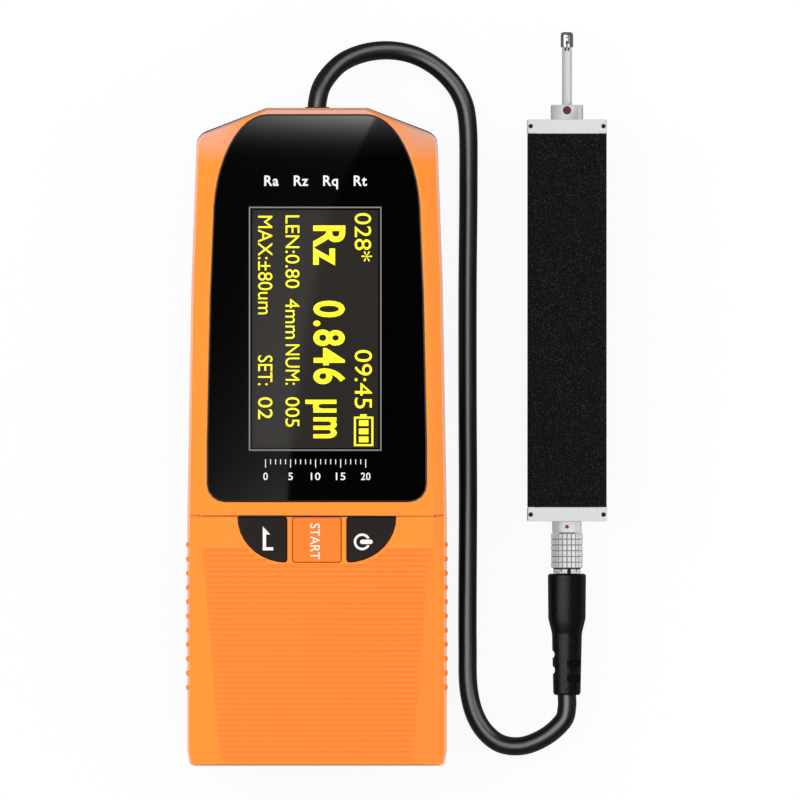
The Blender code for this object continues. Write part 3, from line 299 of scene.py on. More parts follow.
def anodised():
    """Black-anodised extrusion, blasted before anodising: near black, with pale specks painted in as the
    blast's glints.
    """
    made, tree, shader = surface("black_anodised_blasted", 0.38, 0.0, Specular_IOR_Level=0.08)
    place = add_node(tree, "ShaderNodeTexCoord").outputs["Object"]
    fine = add_node(tree, "ShaderNodeTexNoise", Vector=place, Scale=1.0 / (BLAST * MM), Detail=4.0)
    speck = add_node(
        tree, "ShaderNodeMapRange", {"clamp": True}, Value=fine.outputs["Fac"],
        From_Min=0.56, From_Max=0.74, To_Min=0.0, To_Max=1.0,
    )
    # painted glints: pale specks where the fine noise is high
    tone = add_node(tree, "ShaderNodeMix", {"data_type": "RGBA"}, _0=speck.outputs["Result"])
    tone.inputs[6].default_value = linear("#050505")
    tone.inputs[7].default_value = linear("#3a3a3a")
    tree.links.new(tone.outputs[2], shader.inputs["Base Color"])
    bump = add_node(
        tree, "ShaderNodeBump", Height=fine.outputs["Fac"], Strength=1.0, Distance=0.03 * MM
    )
    tree.links.new(bump.outputs["Normal"], shader.inputs["Normal"])
    return made


ANODISED = anodised()


def acrylic():
    """Black-backed acrylic lens: a hard mirror gloss over black."""
    made, tree, shader = surface("black_acrylic_lens", 0.03, 0.0, IOR=1.49)
    shader.inputs["Base Color"].default_value = linear("#030303")
    place = add_node(tree, "ShaderNodeTexCoord").outputs["Object"]
    # faint wiping haze, tens of millimetres wide
    haze = add_node(tree, "ShaderNodeTexNoise", Vector=place, Scale=1.0 / (25.0 * MM), Detail=2.0)
    gloss = add_node(
        tree, "ShaderNodeMapRange", Value=haze.outputs["Fac"], To_Min=0.01, To_Max=0.025
    )
    tree.links.new(gloss.outputs["Result"], shader.inputs["Roughness"])
    return made


PIXEL_PITCH = 0.43  # millimetres between the display's rows
BAND_UNIT = 20.0  # what a Wave Texture multiplies its scale by


def lit_panel():
    """The display seen through the lens: warm dark grey with faint rows of pixels, under the same gloss."""
    made, tree, shader = surface("display_dark_grey", 0.03, 0.0, IOR=1.49)
    place = add_node(tree, "ShaderNodeTexCoord").outputs["Object"]
    rows = add_node(
        tree, "ShaderNodeTexWave", {"wave_type": "BANDS", "bands_direction": "X"},
        Vector=place, Scale=2.0 * math.pi / (PIXEL_PITCH * MM) / BAND_UNIT,
    )
    tone = add_node(tree, "ShaderNodeMix", {"data_type": "RGBA"}, _0=rows.outputs["Fac"])
    tone.inputs[6].default_value = linear("#292623")
    tone.inputs[7].default_value = linear("#2d2a27")
    tree.links.new(tone.outputs[2], shader.inputs["Base Color"])
    return made


def ink(name, code, glow=0.0, roughness=0.3):
    """Printed or glowing film; its tone drifts a little, as screen printing does."""
    made, tree, shader = surface(name, roughness, 0.0, IOR=1.49, Emission_Strength=glow)
    shader.inputs["Emission Color"].default_value = linear(code)
    place = add_node(tree, "ShaderNodeTexCoord").outputs["Object"]
    drift = add_node(tree, "ShaderNodeTexNoise", Vector=place, Scale=1.0 / (0.4 * MM), Detail=2.0)
    amount = add_node(
        tree, "ShaderNodeMapRange", Value=drift.outputs["Fac"], To_Min=0.94, To_Max=1.0
    )
    tone = add_node(
        tree, "ShaderNodeHueSaturation", Value=amount.outputs["Result"], Color=linear(code)
    )
    tree.links.new(tone.outputs["Color"], shader.inputs["Base Color"])
    return made


LENS = acrylic()
PANEL = lit_panel()
YELLOW = ink("display_yellow_glow", "#f4ea30", 0.35, 0.05)
GREY_LINE = ink("grey_lens_print", "#7b7b79", 0.0, 0.05)
WHITE_PRINT = ink("white_lens_print", "#f2f2f2", 0.0, 0.05)
KEY_PRINT = ink("white_key_print", "#f4f2ee", 0.0, 0.4)


def overpaint(look, name, code, masked):
    """A copy of a material that turns to a matt colour where masked() says, from the place's X, Y and Z."""
    made = look.copy()
    made.name = name
    tree = made.node_tree
    shader = tree.nodes["Principled BSDF"]
    place = add_node(tree, "ShaderNodeTexCoord").outputs["Object"]
    parts = add_node(tree, "ShaderNodeSeparateXYZ", Vector=place).outputs
    mask = masked(tree, parts["X"], parts["Y"], parts["Z"])
    old = shader.inputs["Base Color"].links[0].from_socket
    tone = add_node(tree, "ShaderNodeMix", {"data_type": "RGBA"}, _0=mask, _6=old, _7=linear(code))
    tree.links.new(tone.outputs[2], shader.inputs["Base Color"])
    metallic = shader.inputs["Metallic"].default_value
    if metallic:
        metal = math_node(tree, "MULTIPLY", math_node(tree, "SUBTRACT", 1.0, mask), metallic)
        tree.links.new(metal, shader.inputs["Metallic"])
    return made


def math_node(tree, operation, *values):
    """The result of a sum, product or comparison of values and sockets."""
    inputs = {f"_{i}": value for i, value in enumerate(values)}
    return add_node(tree, "ShaderNodeMath", {"operation": operation}, **inputs).outputs["Value"]


def away_from(tree, a, b, centre):
    """Distance from a centre, in metres, in the plane of two coordinates."""
    offsets = [math_node(tree, "SUBTRACT", axis, middle * MM) for axis, middle in zip((a, b), centre)]
    squares = [math_node(tree, "MULTIPLY", offset, offset) for offset in offsets]
    return math_node(tree, "SQRT", math_node(tree, "ADD", *squares))


def red_mark(x, y, radius):
    """Mask of a small round enamel mark on the upper side of the drive unit's round parts."""
    def masked(tree, at_x, at_y, at_z):
        above = math_node(tree, "GREATER_THAN", at_z, AXIS_Z * MM)
        inside = math_node(tree, "LESS_THAN", away_from(tree, at_x, at_y, (x, y)), radius * MM)
        return math_node(tree, "MULTIPLY", inside, above)
    return masked


def grooves_below(radius):
    """Mask of what lies less than a radius from the drive unit's axis."""
    def masked(tree, at_x, at_y, at_z):
        return math_node(tree, "LESS_THAN", away_from(tree, at_x, at_z, (AXIS_X, AXIS_Z)), radius * MM)
    return masked


def patches(*boxes):
    """Mask of patches on the upper side of the drive unit's round parts, each by its X and Y limits."""
    def masked(tree, at_x, at_y, at_z):
        whole = 0.0
        for left, right, low, high in boxes:
            across = math_node(tree, "COMPARE", at_x, (left + right) / 2.0 * MM, (right - left) / 2.0 * MM)
            along = math_node(tree, "COMPARE", at_y, (low + high) / 2.0 * MM, (high - low) / 2.0 * MM)
            whole = math_node(tree, "MAXIMUM", whole, math_node(tree, "MULTIPLY", across, along))
        above = math_node(tree, "GREATER_THAN", at_z, AXIS_Z * MM)
        return math_node(tree, "MULTIPLY", whole, above)
    return masked


HOST_HALF = 40.0  # a half width that holds all of the host


def level_between(low, high, y_low, y_high, half_width=HOST_HALF):
    """Mask of the host's heights from low to high, between two values of Y and within a half width."""
    def masked(tree, at_x, at_y, at_z):
        limits = ((at_z, low, high), (at_y, y_low, y_high), (at_x, -half_width, half_width))
        whole = 1.0
        for axis, first, last in limits:
            inside = math_node(tree, "COMPARE", axis, (first + last) / 2.0 * MM, (last - first) / 2.0 * MM)
            whole = math_node(tree, "MULTIPLY", whole, inside)
        return whole
    return masked


def corner_fade(x, y, full, gone):
    """Mask of the host's upper corners: whole within full of each corner's middle, and gone at gone."""
    def masked(tree, at_x, at_y, at_z):
        away = away_from(tree, math_node(tree, "ABSOLUTE", at_x), at_y, (x, y))
        return math_node(tree, "DIVIDE", math_node(tree, "SUBTRACT", gone * MM, away), (gone - full) * MM)
    return masked


# Painted and shaded fields, in millimetres

# enamel marks: dark red on the nozzle, red on the socket, where the plug's own mark meets it
COLLAR_STEEL = overpaint(GROUND, "ground_steel_red_mark", "#5a1220", red_mark(AXIS_X, 78.72, 1.0))
SOCKET_CHROME = overpaint(PLATED, "matt_chrome_red_dot", "#8a1a28", red_mark(AXIS_X, -21.5, 0.46))
# painted shade: the grooves of the knurl are painted darker than its pads
KNURLED = overpaint(PLATED, "knurled_matt_chrome", "#8c8d8f", grooves_below(3.72))
# painted shade on the collet's jaws: a near-black shadow line under the sleeve's edge, and near-black patches
# where a wide slot and two fine ones lie
COLLET_SHADE = overpaint(PLATED, "slotted_matt_chrome", "#0c0c0d", patches(
    (56.0, 64.2, -31.75, -31.4),
    (60.15, 61.05, -33.2, -31.4),
    (58.6, 58.85, -32.3, -31.4),
    (62.3, 62.55, -32.3, -31.4),
))
# painted shade: the slot in the skid nose, through which the stylus reaches, is painted near black
NOSE_STEEL = overpaint(
    POLISHED, "polished_hard_metal_eroded_slot", "#060606", patches((59.83, 60.37, 93.4, 96.4)),
)
# painted shade: the tube's two cut-outs, beside the stylus arm, are near-black patches painted on
TUBE_STEEL = overpaint(GROUND, "ground_steel_cut_outs", "#060606", patches(
    (59.5, 59.98, 93.05, 93.9), (60.22, 60.7, 93.05, 93.9),
))
# painted shade: the grip's valleys are painted redder than its ribs, and the groove above the keys darker
GRIP_VALLEY_SHADE = overpaint(PLAIN_ORANGE, "orange_abs_grip_floor", "#f7811f", level_between(47.6, 47.8, -79.0, -26.5))
GROOVE = (47.4, 47.7, -19.2, -18.4)
GROOVE_SHADE = overpaint(GRIP_VALLEY_SHADE, "orange_abs_grooved", "#dd5f1c", level_between(*GROOVE))
# painted shade: the gap along the tops of the keys is painted near black
SHADED = overpaint(GROOVE_SHADE, "orange_abs_key_gap", "#2c1206", level_between(*GROOVE, 18.8))
# painted reflection: the slope over the cable outlet is painted paler, and so are the upper corners
RIM_REFLECTION = overpaint(SHADED, "orange_abs_pale_rim", "#d7a793", level_between(46.9, 47.93, 77.5, 79.4))
ORANGE = overpaint(RIM_REFLECTION, "orange_abs_spark_texture", "#e0a48c", corner_fade(25.5, 75.0, 1.0, 9.5))


# Cable

CABLE_RADIUS = 2.25
CABLE_STEPS = 260  # points along the finished cable
ROUTE_STEPS = 24  # between two points of the route
CABLE_ROUTE = (
    (0.0, 76.4, 14.0), (0.0, 80.4, 13.9), (1.4, 85.2, 13.0), (5.6, 90.0, 10.4), (11.4, 92.6, 7.2),
    (18.0, 93.2, 4.6), (24.4, 91.7, 3.0), (30.2, 88.0, 2.4), (34.4, 82.6, 2.3), (36.2, 75.6, 2.3),
    (36.4, 60.0, 2.3), (36.2, 36.0, 2.3), (36.2, 10.0, 2.3), (36.3, -14.0, 2.3), (36.2, -36.0, 2.4),
    (36.2, -50.0, 3.0), (36.5, -61.0, 4.4), (38.8, -68.6, 5.9), (43.4, -73.4, 7.4), (49.2, -74.3, 8.9),
    (55.0, -72.0, 10.2), (59.2, -68.2, 11.0), (60.1, -65.0, 11.25), (60.1, -62.35, 11.25),
)
CABLE_IN_BOOT = 0.9  # how far the cable runs on into the boot


def smooth_route(points, count):
    """Evenly spaced points along a smooth curve through the route's own points, and its length."""
    fine = []
    for i in range(len(points) - 1):
        before = Vector(points[max(i - 1, 0)])
        here, there = Vector(points[i]), Vector(points[i + 1])
        after = Vector(points[min(i + 2, len(points) - 1)])
        for step in range(ROUTE_STEPS):
            t = step / ROUTE_STEPS
            fine.append(0.5 * (
                2.0 * here + (there - before) * t
                + (2.0 * before - 5.0 * here + 4.0 * there - after) * t ** 2
                + (3.0 * here - before - 3.0 * there + after) * t ** 3
            ))
    fine.append(Vector(points[-1]))
    along = [0.0]
    for a, b in zip(fine, fine[1:]):
        along.append(along[-1] + (b - a).length)
    even, i = [], 0
    for step in range(count):
        want = along[-1] * step / (count - 1)
        while i < len(fine) - 2 and along[i + 1] < want:
            i += 1
        share = (want - along[i]) / (along[i + 1] - along[i])
        even.append(fine[i].lerp(fine[i + 1], min(share, 1.0)))
    return even, along[-1]


def make_cable():
    x, y, z = CABLE_ROUTE[-1]
    points, length = smooth_route(CABLE_ROUTE + ((x, y + CABLE_IN_BOOT, z),), CABLE_STEPS)
    curve = bpy.data.curves.new("signal_cable", "CURVE")
    curve.dimensions = "3D"
    curve.bevel_depth = CABLE_RADIUS * MM
    curve.bevel_resolution = 6
    curve.use_fill_caps = True
    spline = curve.splines.new("POLY")
    spline.points.add(len(points) - 1)
    for target, point in zip(spline.points, points):
        target.co = (*(point * MM), 1.0)
    cable = bpy.data.objects.new("signal_cable", curve)
    bpy.context.scene.collection.objects.link(cable)
    settle(cable, "tester", JACKET, "cable_jacket", "cable")
    return cable, length * MM


cable, cable_length = make_cable()


# Host

def make_host():
    settle(copy_of("front_shell", "housing_front"), "tester", ORANGE, "orange_plastic", "front_shell")
    settle(copy_of("rear_shell", "housing_rear"), "tester", CHARCOAL, "charcoal_plastic", "rear_shell")
    settle(copy_of("display_lens", "lens", 0.1), "tester", LENS, "lens_acrylic", "display_lens")
    settle(copy_of("start_key", "start_button", 0.12), "start_key", ORANGE_KEY, "orange_plastic", "start_key")
    for side in ("enter", "power"):
        key = copy_of(f"{side}_key", f"{side}_button", 0.12)
        settle(key, f"{side}_key", KEY_BLACK, "key_plastic", f"{side}_key")
    settle(copy_of("cable_grommet", "outlet_bush", 0.1), "tester", RUBBER, "rubber", "cable_grommet")


def plate(name, outline, low, high):
    """A flat plate with straight sides from its outline, in millimetres."""
    bpy.ops.mesh.primitive_circle_add(vertices=len(outline), radius=MM, fill_type="NGON")
    piece = bpy.context.object
    piece.name = name
    for vertex, (x, y) in zip(piece.data.vertices, outline):
        vertex.co = (x * MM, y * MM, low * MM)
    edit(piece)
    bpy.ops.mesh.select_all(action="SELECT")
    bpy.ops.mesh.extrude_region_move(TRANSFORM_OT_translate={"value": (0.0, 0.0, (high - low) * MM)})
    done()
    outward(piece)
    return piece


def box_outline(left, right, low, high):
    return [(left, low), (right, low), (right, high), (left, high)]


def join(name, pieces):
    hold(pieces[0])
    for piece in pieces:
        piece.select_set(True)
    bpy.ops.object.join()
    pieces[0].name = name
    return pieces[0]


def lettering(words, left, right, low, high, foot, turned=True, heavy=0.0):
    """Raised characters that fill the given box, in millimetres; turned ones read downwards."""
    bpy.ops.object.text_add()
    piece = bpy.context.object
    piece.data.body = words
    piece.data.size = 1.0
    piece.data.extrude = 0.05
    piece.data.offset = heavy
    piece.data.space_character = 1.0 + 5.0 * heavy  # heavier strokes keep the gaps between them
    piece.data.resolution_u = 4
    bpy.ops.object.convert(target="MESH")
    piece.rotation_euler = (0.0, 0.0, -math.pi / 2.0 if turned else 0.0)
    rest_in_mesh(piece)
    corners = [vertex.co for vertex in piece.data.vertices]
    start = [min(c[i] for c in corners) for i in range(3)]
    size = [max(c[i] for c in corners) - start[i] for i in range(3)]
    want = (right - left, high - low, INK)
    stretch = [want[i] / size[i] * MM for i in range(3)]
    piece.scale = stretch
    base = (left * MM, low * MM, foot * MM)
    piece.location = [base[i] - start[i] * stretch[i] for i in range(3)]
    rest_in_mesh(piece)
    outward(piece)
    return piece


# Each box is its left, right, low and high limit in millimetres
DISPLAY_BOX = (-15.5, 14.74, -2.54, 54.53)
FRAME_BOX = (-16.3, 15.5, -3.19, 55.32)
FRAME_ROUND = 0.45
FRAME_WIDTH = 0.34
BATTERY_SIGN = (
    # the four sides of its case, its three bars of charge and its cap
    (8.88, 13.54, 4.54, 5.02), (8.88, 13.54, -2.06, -1.58), (8.88, 9.36, -1.58, 4.54),
    (13.06, 13.54, -1.58, 4.54),
    (10.08, 12.36, 2.78, 4.18), (10.08, 12.36, 0.79, 2.19), (10.08, 12.36, -1.15, 0.25),
    (10.37, 11.95, 5.02, 5.59),
)
BOLD = 0.025  # how far the strokes of large characters are thickened, for a size of 1
DISPLAY_WORDS = (
    # words, left, right, low, high, heavy
    ("028*", 9.05, 13.22, 42.2, 53.8, 0.0),
    ("09:45", 9.05, 13.22, 6.96, 21.0, 0.0),
    ("Rz", -0.89, 6.82, 41.21, 50.83, BOLD),
    ("0.846", -0.89, 6.82, 12.77, 32.81, BOLD),
    ("µm", -2.76, 4.8, -0.17, 9.07, BOLD),
    ("LEN:0.80", -7.54, -4.15, 35.81, 53.23, 0.0),
    ("4mm", -7.54, -4.15, 23.66, 33.22, 0.0),
    ("NUM:", -7.54, -4.15, 12.65, 22.32, 0.0),
    ("005", -7.54, -4.15, 2.57, 9.67, 0.0),
    ("MAX:±80um", -14.11, -10.63, 29.54, 53.14, 0.0),
    ("SET:", -14.11, -10.63, 12.53, 19.68, 0.0),
    ("02", -14.11, -10.63, 4.4, 9.67, 0.0),
)


def make_display():
    """The panel with its frame, its lit words and the battery sign, as thin films on the lens."""
    low, high = LENS_FACE - INK, LENS_FACE + INK
    panel = plate("display_panel", box_outline(*DISPLAY_BOX), low, high)
    settle(panel, "tester", PANEL, "display_glass")
    line = plate("display_frame", box_outline(*FRAME_BOX), low, high)
    soften(line, FRAME_ROUND, 3)
    edit(line)
    pick(line, lambda centre, normal: abs(normal.z) > FACING)
    bpy.ops.mesh.inset(thickness=FRAME_WIDTH * MM)
    bpy.ops.mesh.bridge_edge_loops()
    done()
    outward(line)
    settle(line, "tester", GREY_LINE, "display_glass")
    words = [lettering(word, *box, high, True, heavy) for word, *box, heavy in DISPLAY_WORDS]
    settle(join("display_characters", words), "tester", YELLOW, "display_glass")
    cell = [plate("cell", box_outline(*box), high, high + INK) for box in BATTERY_SIGN]
    settle(join("display_battery_sign", cell), "tester", YELLOW, "display_glass")


# Print on the lens: parameter names above the display, and a scale from 0 to 20 below it
NAMES_BOX = (-12.6, 12.0, 59.5, 62.8)
SCALE_LEFT = -12.3
SCALE_STEP = 1.2
SCALE_END = 20
NUMBERED = 5  # every fifth mark is long and has its number
MARK_TOP = -5.2
MARK_HALF = 0.1
LONG_MARK = 2.0
SHORT_MARK = 1.2
NUMBER_LOW = -10.2
NUMBER_HIGH = -8.4
NUMBER_HALVES = (0.55, 1.15)  # half widths of one figure and of two


def make_lens_print():
    foot = LENS_FACE - INK / 2.0
    top = lettering("Ra   Rz   Rq   Rt", *NAMES_BOX, foot, False, 0.02)
    settle(top, "tester", WHITE_PRINT, "lens_acrylic").name = "parameter_print"
    marks = []
    for value in range(SCALE_END + 1):
        x = SCALE_LEFT + value * SCALE_STEP
        low = MARK_TOP - (SHORT_MARK if value % NUMBERED else LONG_MARK)
        box = box_outline(x - MARK_HALF, x + MARK_HALF, low, MARK_TOP)
        marks.append(plate("tick", box, foot, foot + INK))
    for value in range(0, SCALE_END + 1, NUMBERED):
        x = SCALE_LEFT + value * SCALE_STEP
        half = NUMBER_HALVES[len(str(value)) - 1]
        marks.append(lettering(str(value), x - half, x + half, NUMBER_LOW, NUMBER_HIGH, foot, False, 0.01))
    settle(join("scale_print", marks), "tester", WHITE_PRINT, "lens_acrylic")


# Signs printed on the keys
START_BOX = (-1.63, 0.72, -29.16, -20.57)
ENTER_SIGN = (
    (-12.96, -27.02), (-10.46, -27.02), (-10.46, -26.28), (-12.17, -26.28), (-12.17, -23.21),
    (-11.18, -23.21), (-12.96, -21.29),
)
POWER_X = 10.85
POWER_Y = -24.98
POWER_RADIUS = 2.0
POWER_STROKE = 0.57
POWER_OPENING = 0.82  # half of what is left out of the ring, for the bar
BAR_X = 11.855
BAR_HALF = 0.99
BAR_ROUND = 0.525
BAR_STEPS = 8  # in each of its round ends


def make_power_ring():
    """The open ring of the power sign."""
    bpy.ops.mesh.primitive_circle_add(
        vertices=64, radius=POWER_RADIUS * MM, fill_type="TRIFAN",
        location=(POWER_X * MM, POWER_Y * MM, (KEY_FACE - INK) * MM),
    )
    ring = bpy.context.object
    rest_in_mesh(ring)
    centre = Vector((POWER_X, POWER_Y)) * MM
    hole = (POWER_RADIUS - POWER_STROKE - NEAR) * MM
    edit(ring)
    bpy.ops.mesh.select_all(action="SELECT")
    bpy.ops.mesh.inset(thickness=POWER_STROKE * MM, depth=0.0)
    pick(ring, lambda c, n: (Vector(c[:2]) - centre).length < hole or (
        c.x > centre.x and abs(c.y - centre.y) < POWER_OPENING * MM))
    bpy.ops.mesh.delete(type="FACE")
    bpy.ops.mesh.select_all(action="SELECT")
    bpy.ops.mesh.extrude_region_move(TRANSFORM_OT_translate={"value": (0.0, 0.0, 2.0 * INK * MM)})
    done()
    outward(ring)
    return ring


def make_key_signs():
    word = lettering("START", *START_BOX, KEY_FACE - INK / 2.0)
    settle(word, "start_key", KEY_PRINT, "key_plastic").name = "start_word"
    sign = plate("enter_sign", ENTER_SIGN, KEY_FACE - INK, KEY_FACE + INK)
    settle(sign, "enter_key", KEY_PRINT, "key_plastic")
    ring = make_power_ring()
    bar = []
    for way, turn in ((1.0, 0.0), (-1.0, math.pi)):
        for step in range(BAR_STEPS + 1):
            angle = math.pi * (step / BAR_STEPS - 0.5) + turn
            x = BAR_X + way * BAR_HALF + BAR_ROUND * math.cos(angle)
            bar.append((x, POWER_Y + BAR_ROUND * math.sin(angle)))
    stroke = plate("stroke", bar, KEY_FACE - INK, KEY_FACE + INK)
    settle(join("power_sign", [ring, stroke]), "power_key", KEY_PRINT, "key_plastic")


# Case screws in the host's back
SCREW_PLACES = ((-24.4, 60.0), (24.4, 60.0), (-21.4, -68.0), (21.4, -68.0))
SCREW_SUNK = 2.4  # from the host's back to the screw's head
SCREW_HEAD_RADIUS = 1.9
SCREW_HEAD_THICK = 1.6
SCREW_HEAD_EDGE = 0.3
SCREW_STEP = 0.9  # from the head's rim to the shank
SCREW_SHANK = 33.0
RECESS_SIZE = (2.2, 0.55, 1.6)  # of each arm of the cross, half sunk in the head
RECESS_TURN = 20.0  # degrees by which each screw is turned further than the last


def make_screws():
    """Pan-head screws with a cross recess, at the bottom of the four deep holes in the back."""
    for i, (x, y) in enumerate(SCREW_PLACES):
        bpy.ops.mesh.primitive_cylinder_add(
            vertices=32, radius=SCREW_HEAD_RADIUS * MM, depth=SCREW_HEAD_THICK * MM,
            location=(x * MM, y * MM, (SCREW_SUNK + SCREW_HEAD_THICK / 2.0) * MM),
        )
        screw = bpy.context.object
        screw.name = f"screw_{i + 1}"
        rest_in_mesh(screw)
        edit(screw)
        pick(screw, lambda centre, normal: normal.z > FACING)
        bpy.ops.mesh.inset(thickness=SCREW_STEP * MM)
        bpy.ops.mesh.extrude_region_move(TRANSFORM_OT_translate={"value": (0.0, 0.0, SCREW_SHANK * MM)})
        done()
        soften(screw, SCREW_HEAD_EDGE, 3)
        for turn in (0.0, 90.0):
            bpy.ops.mesh.primitive_cube_add(size=1.0, location=(x * MM, y * MM, SCREW_SUNK * MM))
            slot = bpy.context.object
            slot.scale = [side * MM for side in RECESS_SIZE]
            slot.rotation_euler = (0.0, 0.0, math.radians(turn + RECESS_TURN * (i + 1)))
            rest_in_mesh(slot)
            hold(screw)
            cut = screw.modifiers.new("recess", "BOOLEAN")
            cut.operation = "DIFFERENCE"
            cut.solver = "EXACT"
            cut.object = slot
            bpy.ops.object.modifier_apply(modifier=cut.name)
            bpy.data.objects.remove(slot)
        shade(screw)
        settle(screw, "tester", ZINC, "screw_steel", f"case_screw_{i + 1}")


make_host()
make_display()
make_lens_print()
make_key_signs()
make_screws()


# Drive unit and plug

SEAT = 0.25  # what a shoulder is moved by, to close up on its neighbour in the picture
DRIVE_FRONT = 76.44
DRIVE_BACK = -20.16
# where those shoulders are, on Y
COLLAR_BACK = (DRIVE_FRONT, DRIVE_FRONT + 1.0)
BARREL_FRONT = (90.0, 98.0)
SOCKET_FRONT = (DRIVE_BACK - 1.0, DRIVE_BACK)
CORE_BACK = (-33.0, -32.0)


def make_drive():
    tube = copy_of("drive_housing", "drive_tube", 0.08)
    settle(tube, "tester", ANODISED, "anodised_aluminium", "drive_housing")
    for end in ("front", "rear"):
        cap = copy_of(f"{end}_cap", f"{end}_end_cap", 0.06)
        settle(cap, "tester", ALLOY, "satin_aluminium", f"{end}_cap")
    collar = reach(copy_of("pickup_collar", "pickup_nozzle", 0.08), COLLAR_BACK, -1, SEAT)
    settle(collar, "tester", COLLAR_STEEL, "satin_aluminium", "pickup_collar")
    barrel = reach(copy_of("pickup_tube", "pickup_barrel", 0.05), BARREL_FRONT, 1, SEAT)
    settle(barrel, "pickup_carriage", TUBE_STEEL, "satin_aluminium", "pickup_tube")
    nose = copy_of("skid_nose", "pickup_skid", 0.05)
    settle(nose, "pickup_carriage", NOSE_STEEL, "polished_steel", "skid_nose")
    settle(copy_of("stylus_arm", "stylus"), "stylus", BLUED, "polished_steel", "stylus_arm")
    ring = reach(copy_of("drive_socket", "socket_ring", 0.06), SOCKET_FRONT, 1, SEAT)
    settle(ring, "tester", SOCKET_CHROME, "plated_brass", "drive_socket")
    core = reach(copy_of("plug_body", "plug_core", 0.05), CORE_BACK, -1, SEAT)
    settle(core, "tester", COLLET_SHADE, "plated_brass", "plug_body")
    settle(copy_of("plug_boot", "flex_boot", 0.1), "tester", RUBBER, "rubber", "plug_boot")


GRUB_TOP = 22.1
GRUB_RADIUS = 0.5
GRUB_LENGTH = 0.55
GRUB_RIM = 0.22
GRUB_SOCKET = 0.3
GRUB_FROM_END = 1.62
GRUB_FROM_AXIS = 8.75


def make_grub_screws():
    """Socket grub screws, sunk in the pits of both end caps."""
    for end, y in (("front", DRIVE_FRONT - GRUB_FROM_END), ("rear", DRIVE_BACK + GRUB_FROM_END)):
        for side, x in (("left", AXIS_X - GRUB_FROM_AXIS), ("right", AXIS_X + GRUB_FROM_AXIS)):
            bpy.ops.mesh.primitive_cylinder_add(
                vertices=24, radius=GRUB_RADIUS * MM, depth=GRUB_LENGTH * MM,
                location=(x * MM, y * MM, (GRUB_TOP - GRUB_LENGTH / 2.0) * MM),
            )
            screw = bpy.context.object
            screw.name = f"{end}_grub_screw_{side}"
            rest_in_mesh(screw)
            edit(screw)
            pick(screw, lambda centre, normal: normal.z > FACING)
            bpy.ops.mesh.inset(thickness=GRUB_RIM * MM)
            bpy.ops.mesh.extrude_region_move(TRANSFORM_OT_translate={"value": (0.0, 0.0, -GRUB_SOCKET * MM)})
            done()
            soften(screw, 0.04)
            shade(screw)
            settle(screw, "tester", BLACK_OXIDE, "screw_steel")


SLEEVE_FRONT = -23.11
SLEEVE_BACK = -31.41
SLEEVE_ROWS = 6
SLEEVE_COLUMNS = 22
SLEEVE_FLOOR = 3.66
SLEEVE_CREST = 3.85
SLEEVE_GROOVE = 0.07  # half the width of a groove, and the width of its wall
SLEEVE_BORE = 2.65
SLEEVE_SKIRT = 3.45  # the wider bore behind, over the collet
SLEEVE_SKIRT_DEPTH = 2.45
SLEEVE_CREASE = math.radians(25.0)


def by_axis(point, radius):
    """Whether a point lies within a radius of the drive unit's axis."""
    return (Vector((point.x, point.z)) - Vector((AXIS_X, AXIS_Z)) * MM).length < (radius + NEAR) * MM


def make_sleeve():
    """Plug sleeve with a square knurl: raised pads between fine grooves."""
    length = SLEEVE_FRONT - SLEEVE_BACK
    bpy.ops.mesh.primitive_cylinder_add(
        vertices=SLEEVE_COLUMNS, radius=SLEEVE_FLOOR * MM, depth=length * MM, end_fill_type="NOTHING",
        location=(AXIS_X * MM, (SLEEVE_FRONT + SLEEVE_BACK) / 2.0 * MM, AXIS_Z * MM),
        rotation=(math.pi / 2.0, 0.0, 0.0),
    )
    sleeve = bpy.context.object
    sleeve.name = "knurled_sleeve"
    rest_in_mesh(sleeve)
    edit(sleeve)
    for row in range(1, SLEEVE_ROWS):
        bpy.ops.mesh.select_all(action="SELECT")
        y = SLEEVE_BACK + length * row / SLEEVE_ROWS
        bpy.ops.mesh.bisect(plane_co=(0.0, y * MM, 0.0), plane_no=(0.0, 1.0, 0.0))
    bpy.ops.mesh.select_all(action="SELECT")
    bpy.ops.mesh.inset(thickness=SLEEVE_GROOVE * MM, use_individual=True, use_boundary=True)
    rise = (SLEEVE_CREST - SLEEVE_FLOOR) * MM
    bpy.ops.mesh.inset(thickness=SLEEVE_GROOVE * MM, depth=rise, use_individual=True)
    done()

    def rim(y, radius):
        """Picks the ring of edges at y that lies within a radius of the axis."""
        edit(sleeve)
        pick(sleeve, lambda a, b: all(
            abs(end.y - y * MM) < LEVEL and by_axis(end, radius) for end in (a, b)
        ), "edges")

    def draw_in(y, old, new, forward=0.0):
        """Extrudes the picked ring, from one radius to another or forward."""
        bpy.ops.mesh.extrude_edges_move(TRANSFORM_OT_translate={"value": (0.0, forward * MM, 0.0)})
        bpy.ops.transform.resize(
            value=(new / old, 1.0, new / old), center_override=(AXIS_X * MM, y * MM, AXIS_Z * MM)
        )

    step = SLEEVE_BACK + SLEEVE_SKIRT_DEPTH
    rim(SLEEVE_FRONT, SLEEVE_FLOOR)
    draw_in(SLEEVE_FRONT, SLEEVE_FLOOR, SLEEVE_BORE)
    done()
    rim(SLEEVE_BACK, SLEEVE_FLOOR)
    draw_in(SLEEVE_BACK, SLEEVE_FLOOR, SLEEVE_SKIRT)
    draw_in(SLEEVE_BACK, SLEEVE_SKIRT, SLEEVE_SKIRT, SLEEVE_SKIRT_DEPTH)
    draw_in(step, SLEEVE_SKIRT, SLEEVE_BORE)
    done()
    edit(sleeve)
    pick(sleeve, lambda a, b: all(
        by_axis(end, SLEEVE_BORE) for end in (a, b)
    ) and abs(a.y - b.y) < LEVEL, "edges")
    bpy.ops.mesh.bridge_edge_loops()
    done()
    outward(sleeve)
    shade(sleeve, SLEEVE_CREASE)
    settle(sleeve, "plug_sleeve", KNURLED, "plated_brass", "plug_sleeve")
    return sleeve


make_drive()
make_grub_screws()
sleeve = make_sleeve()

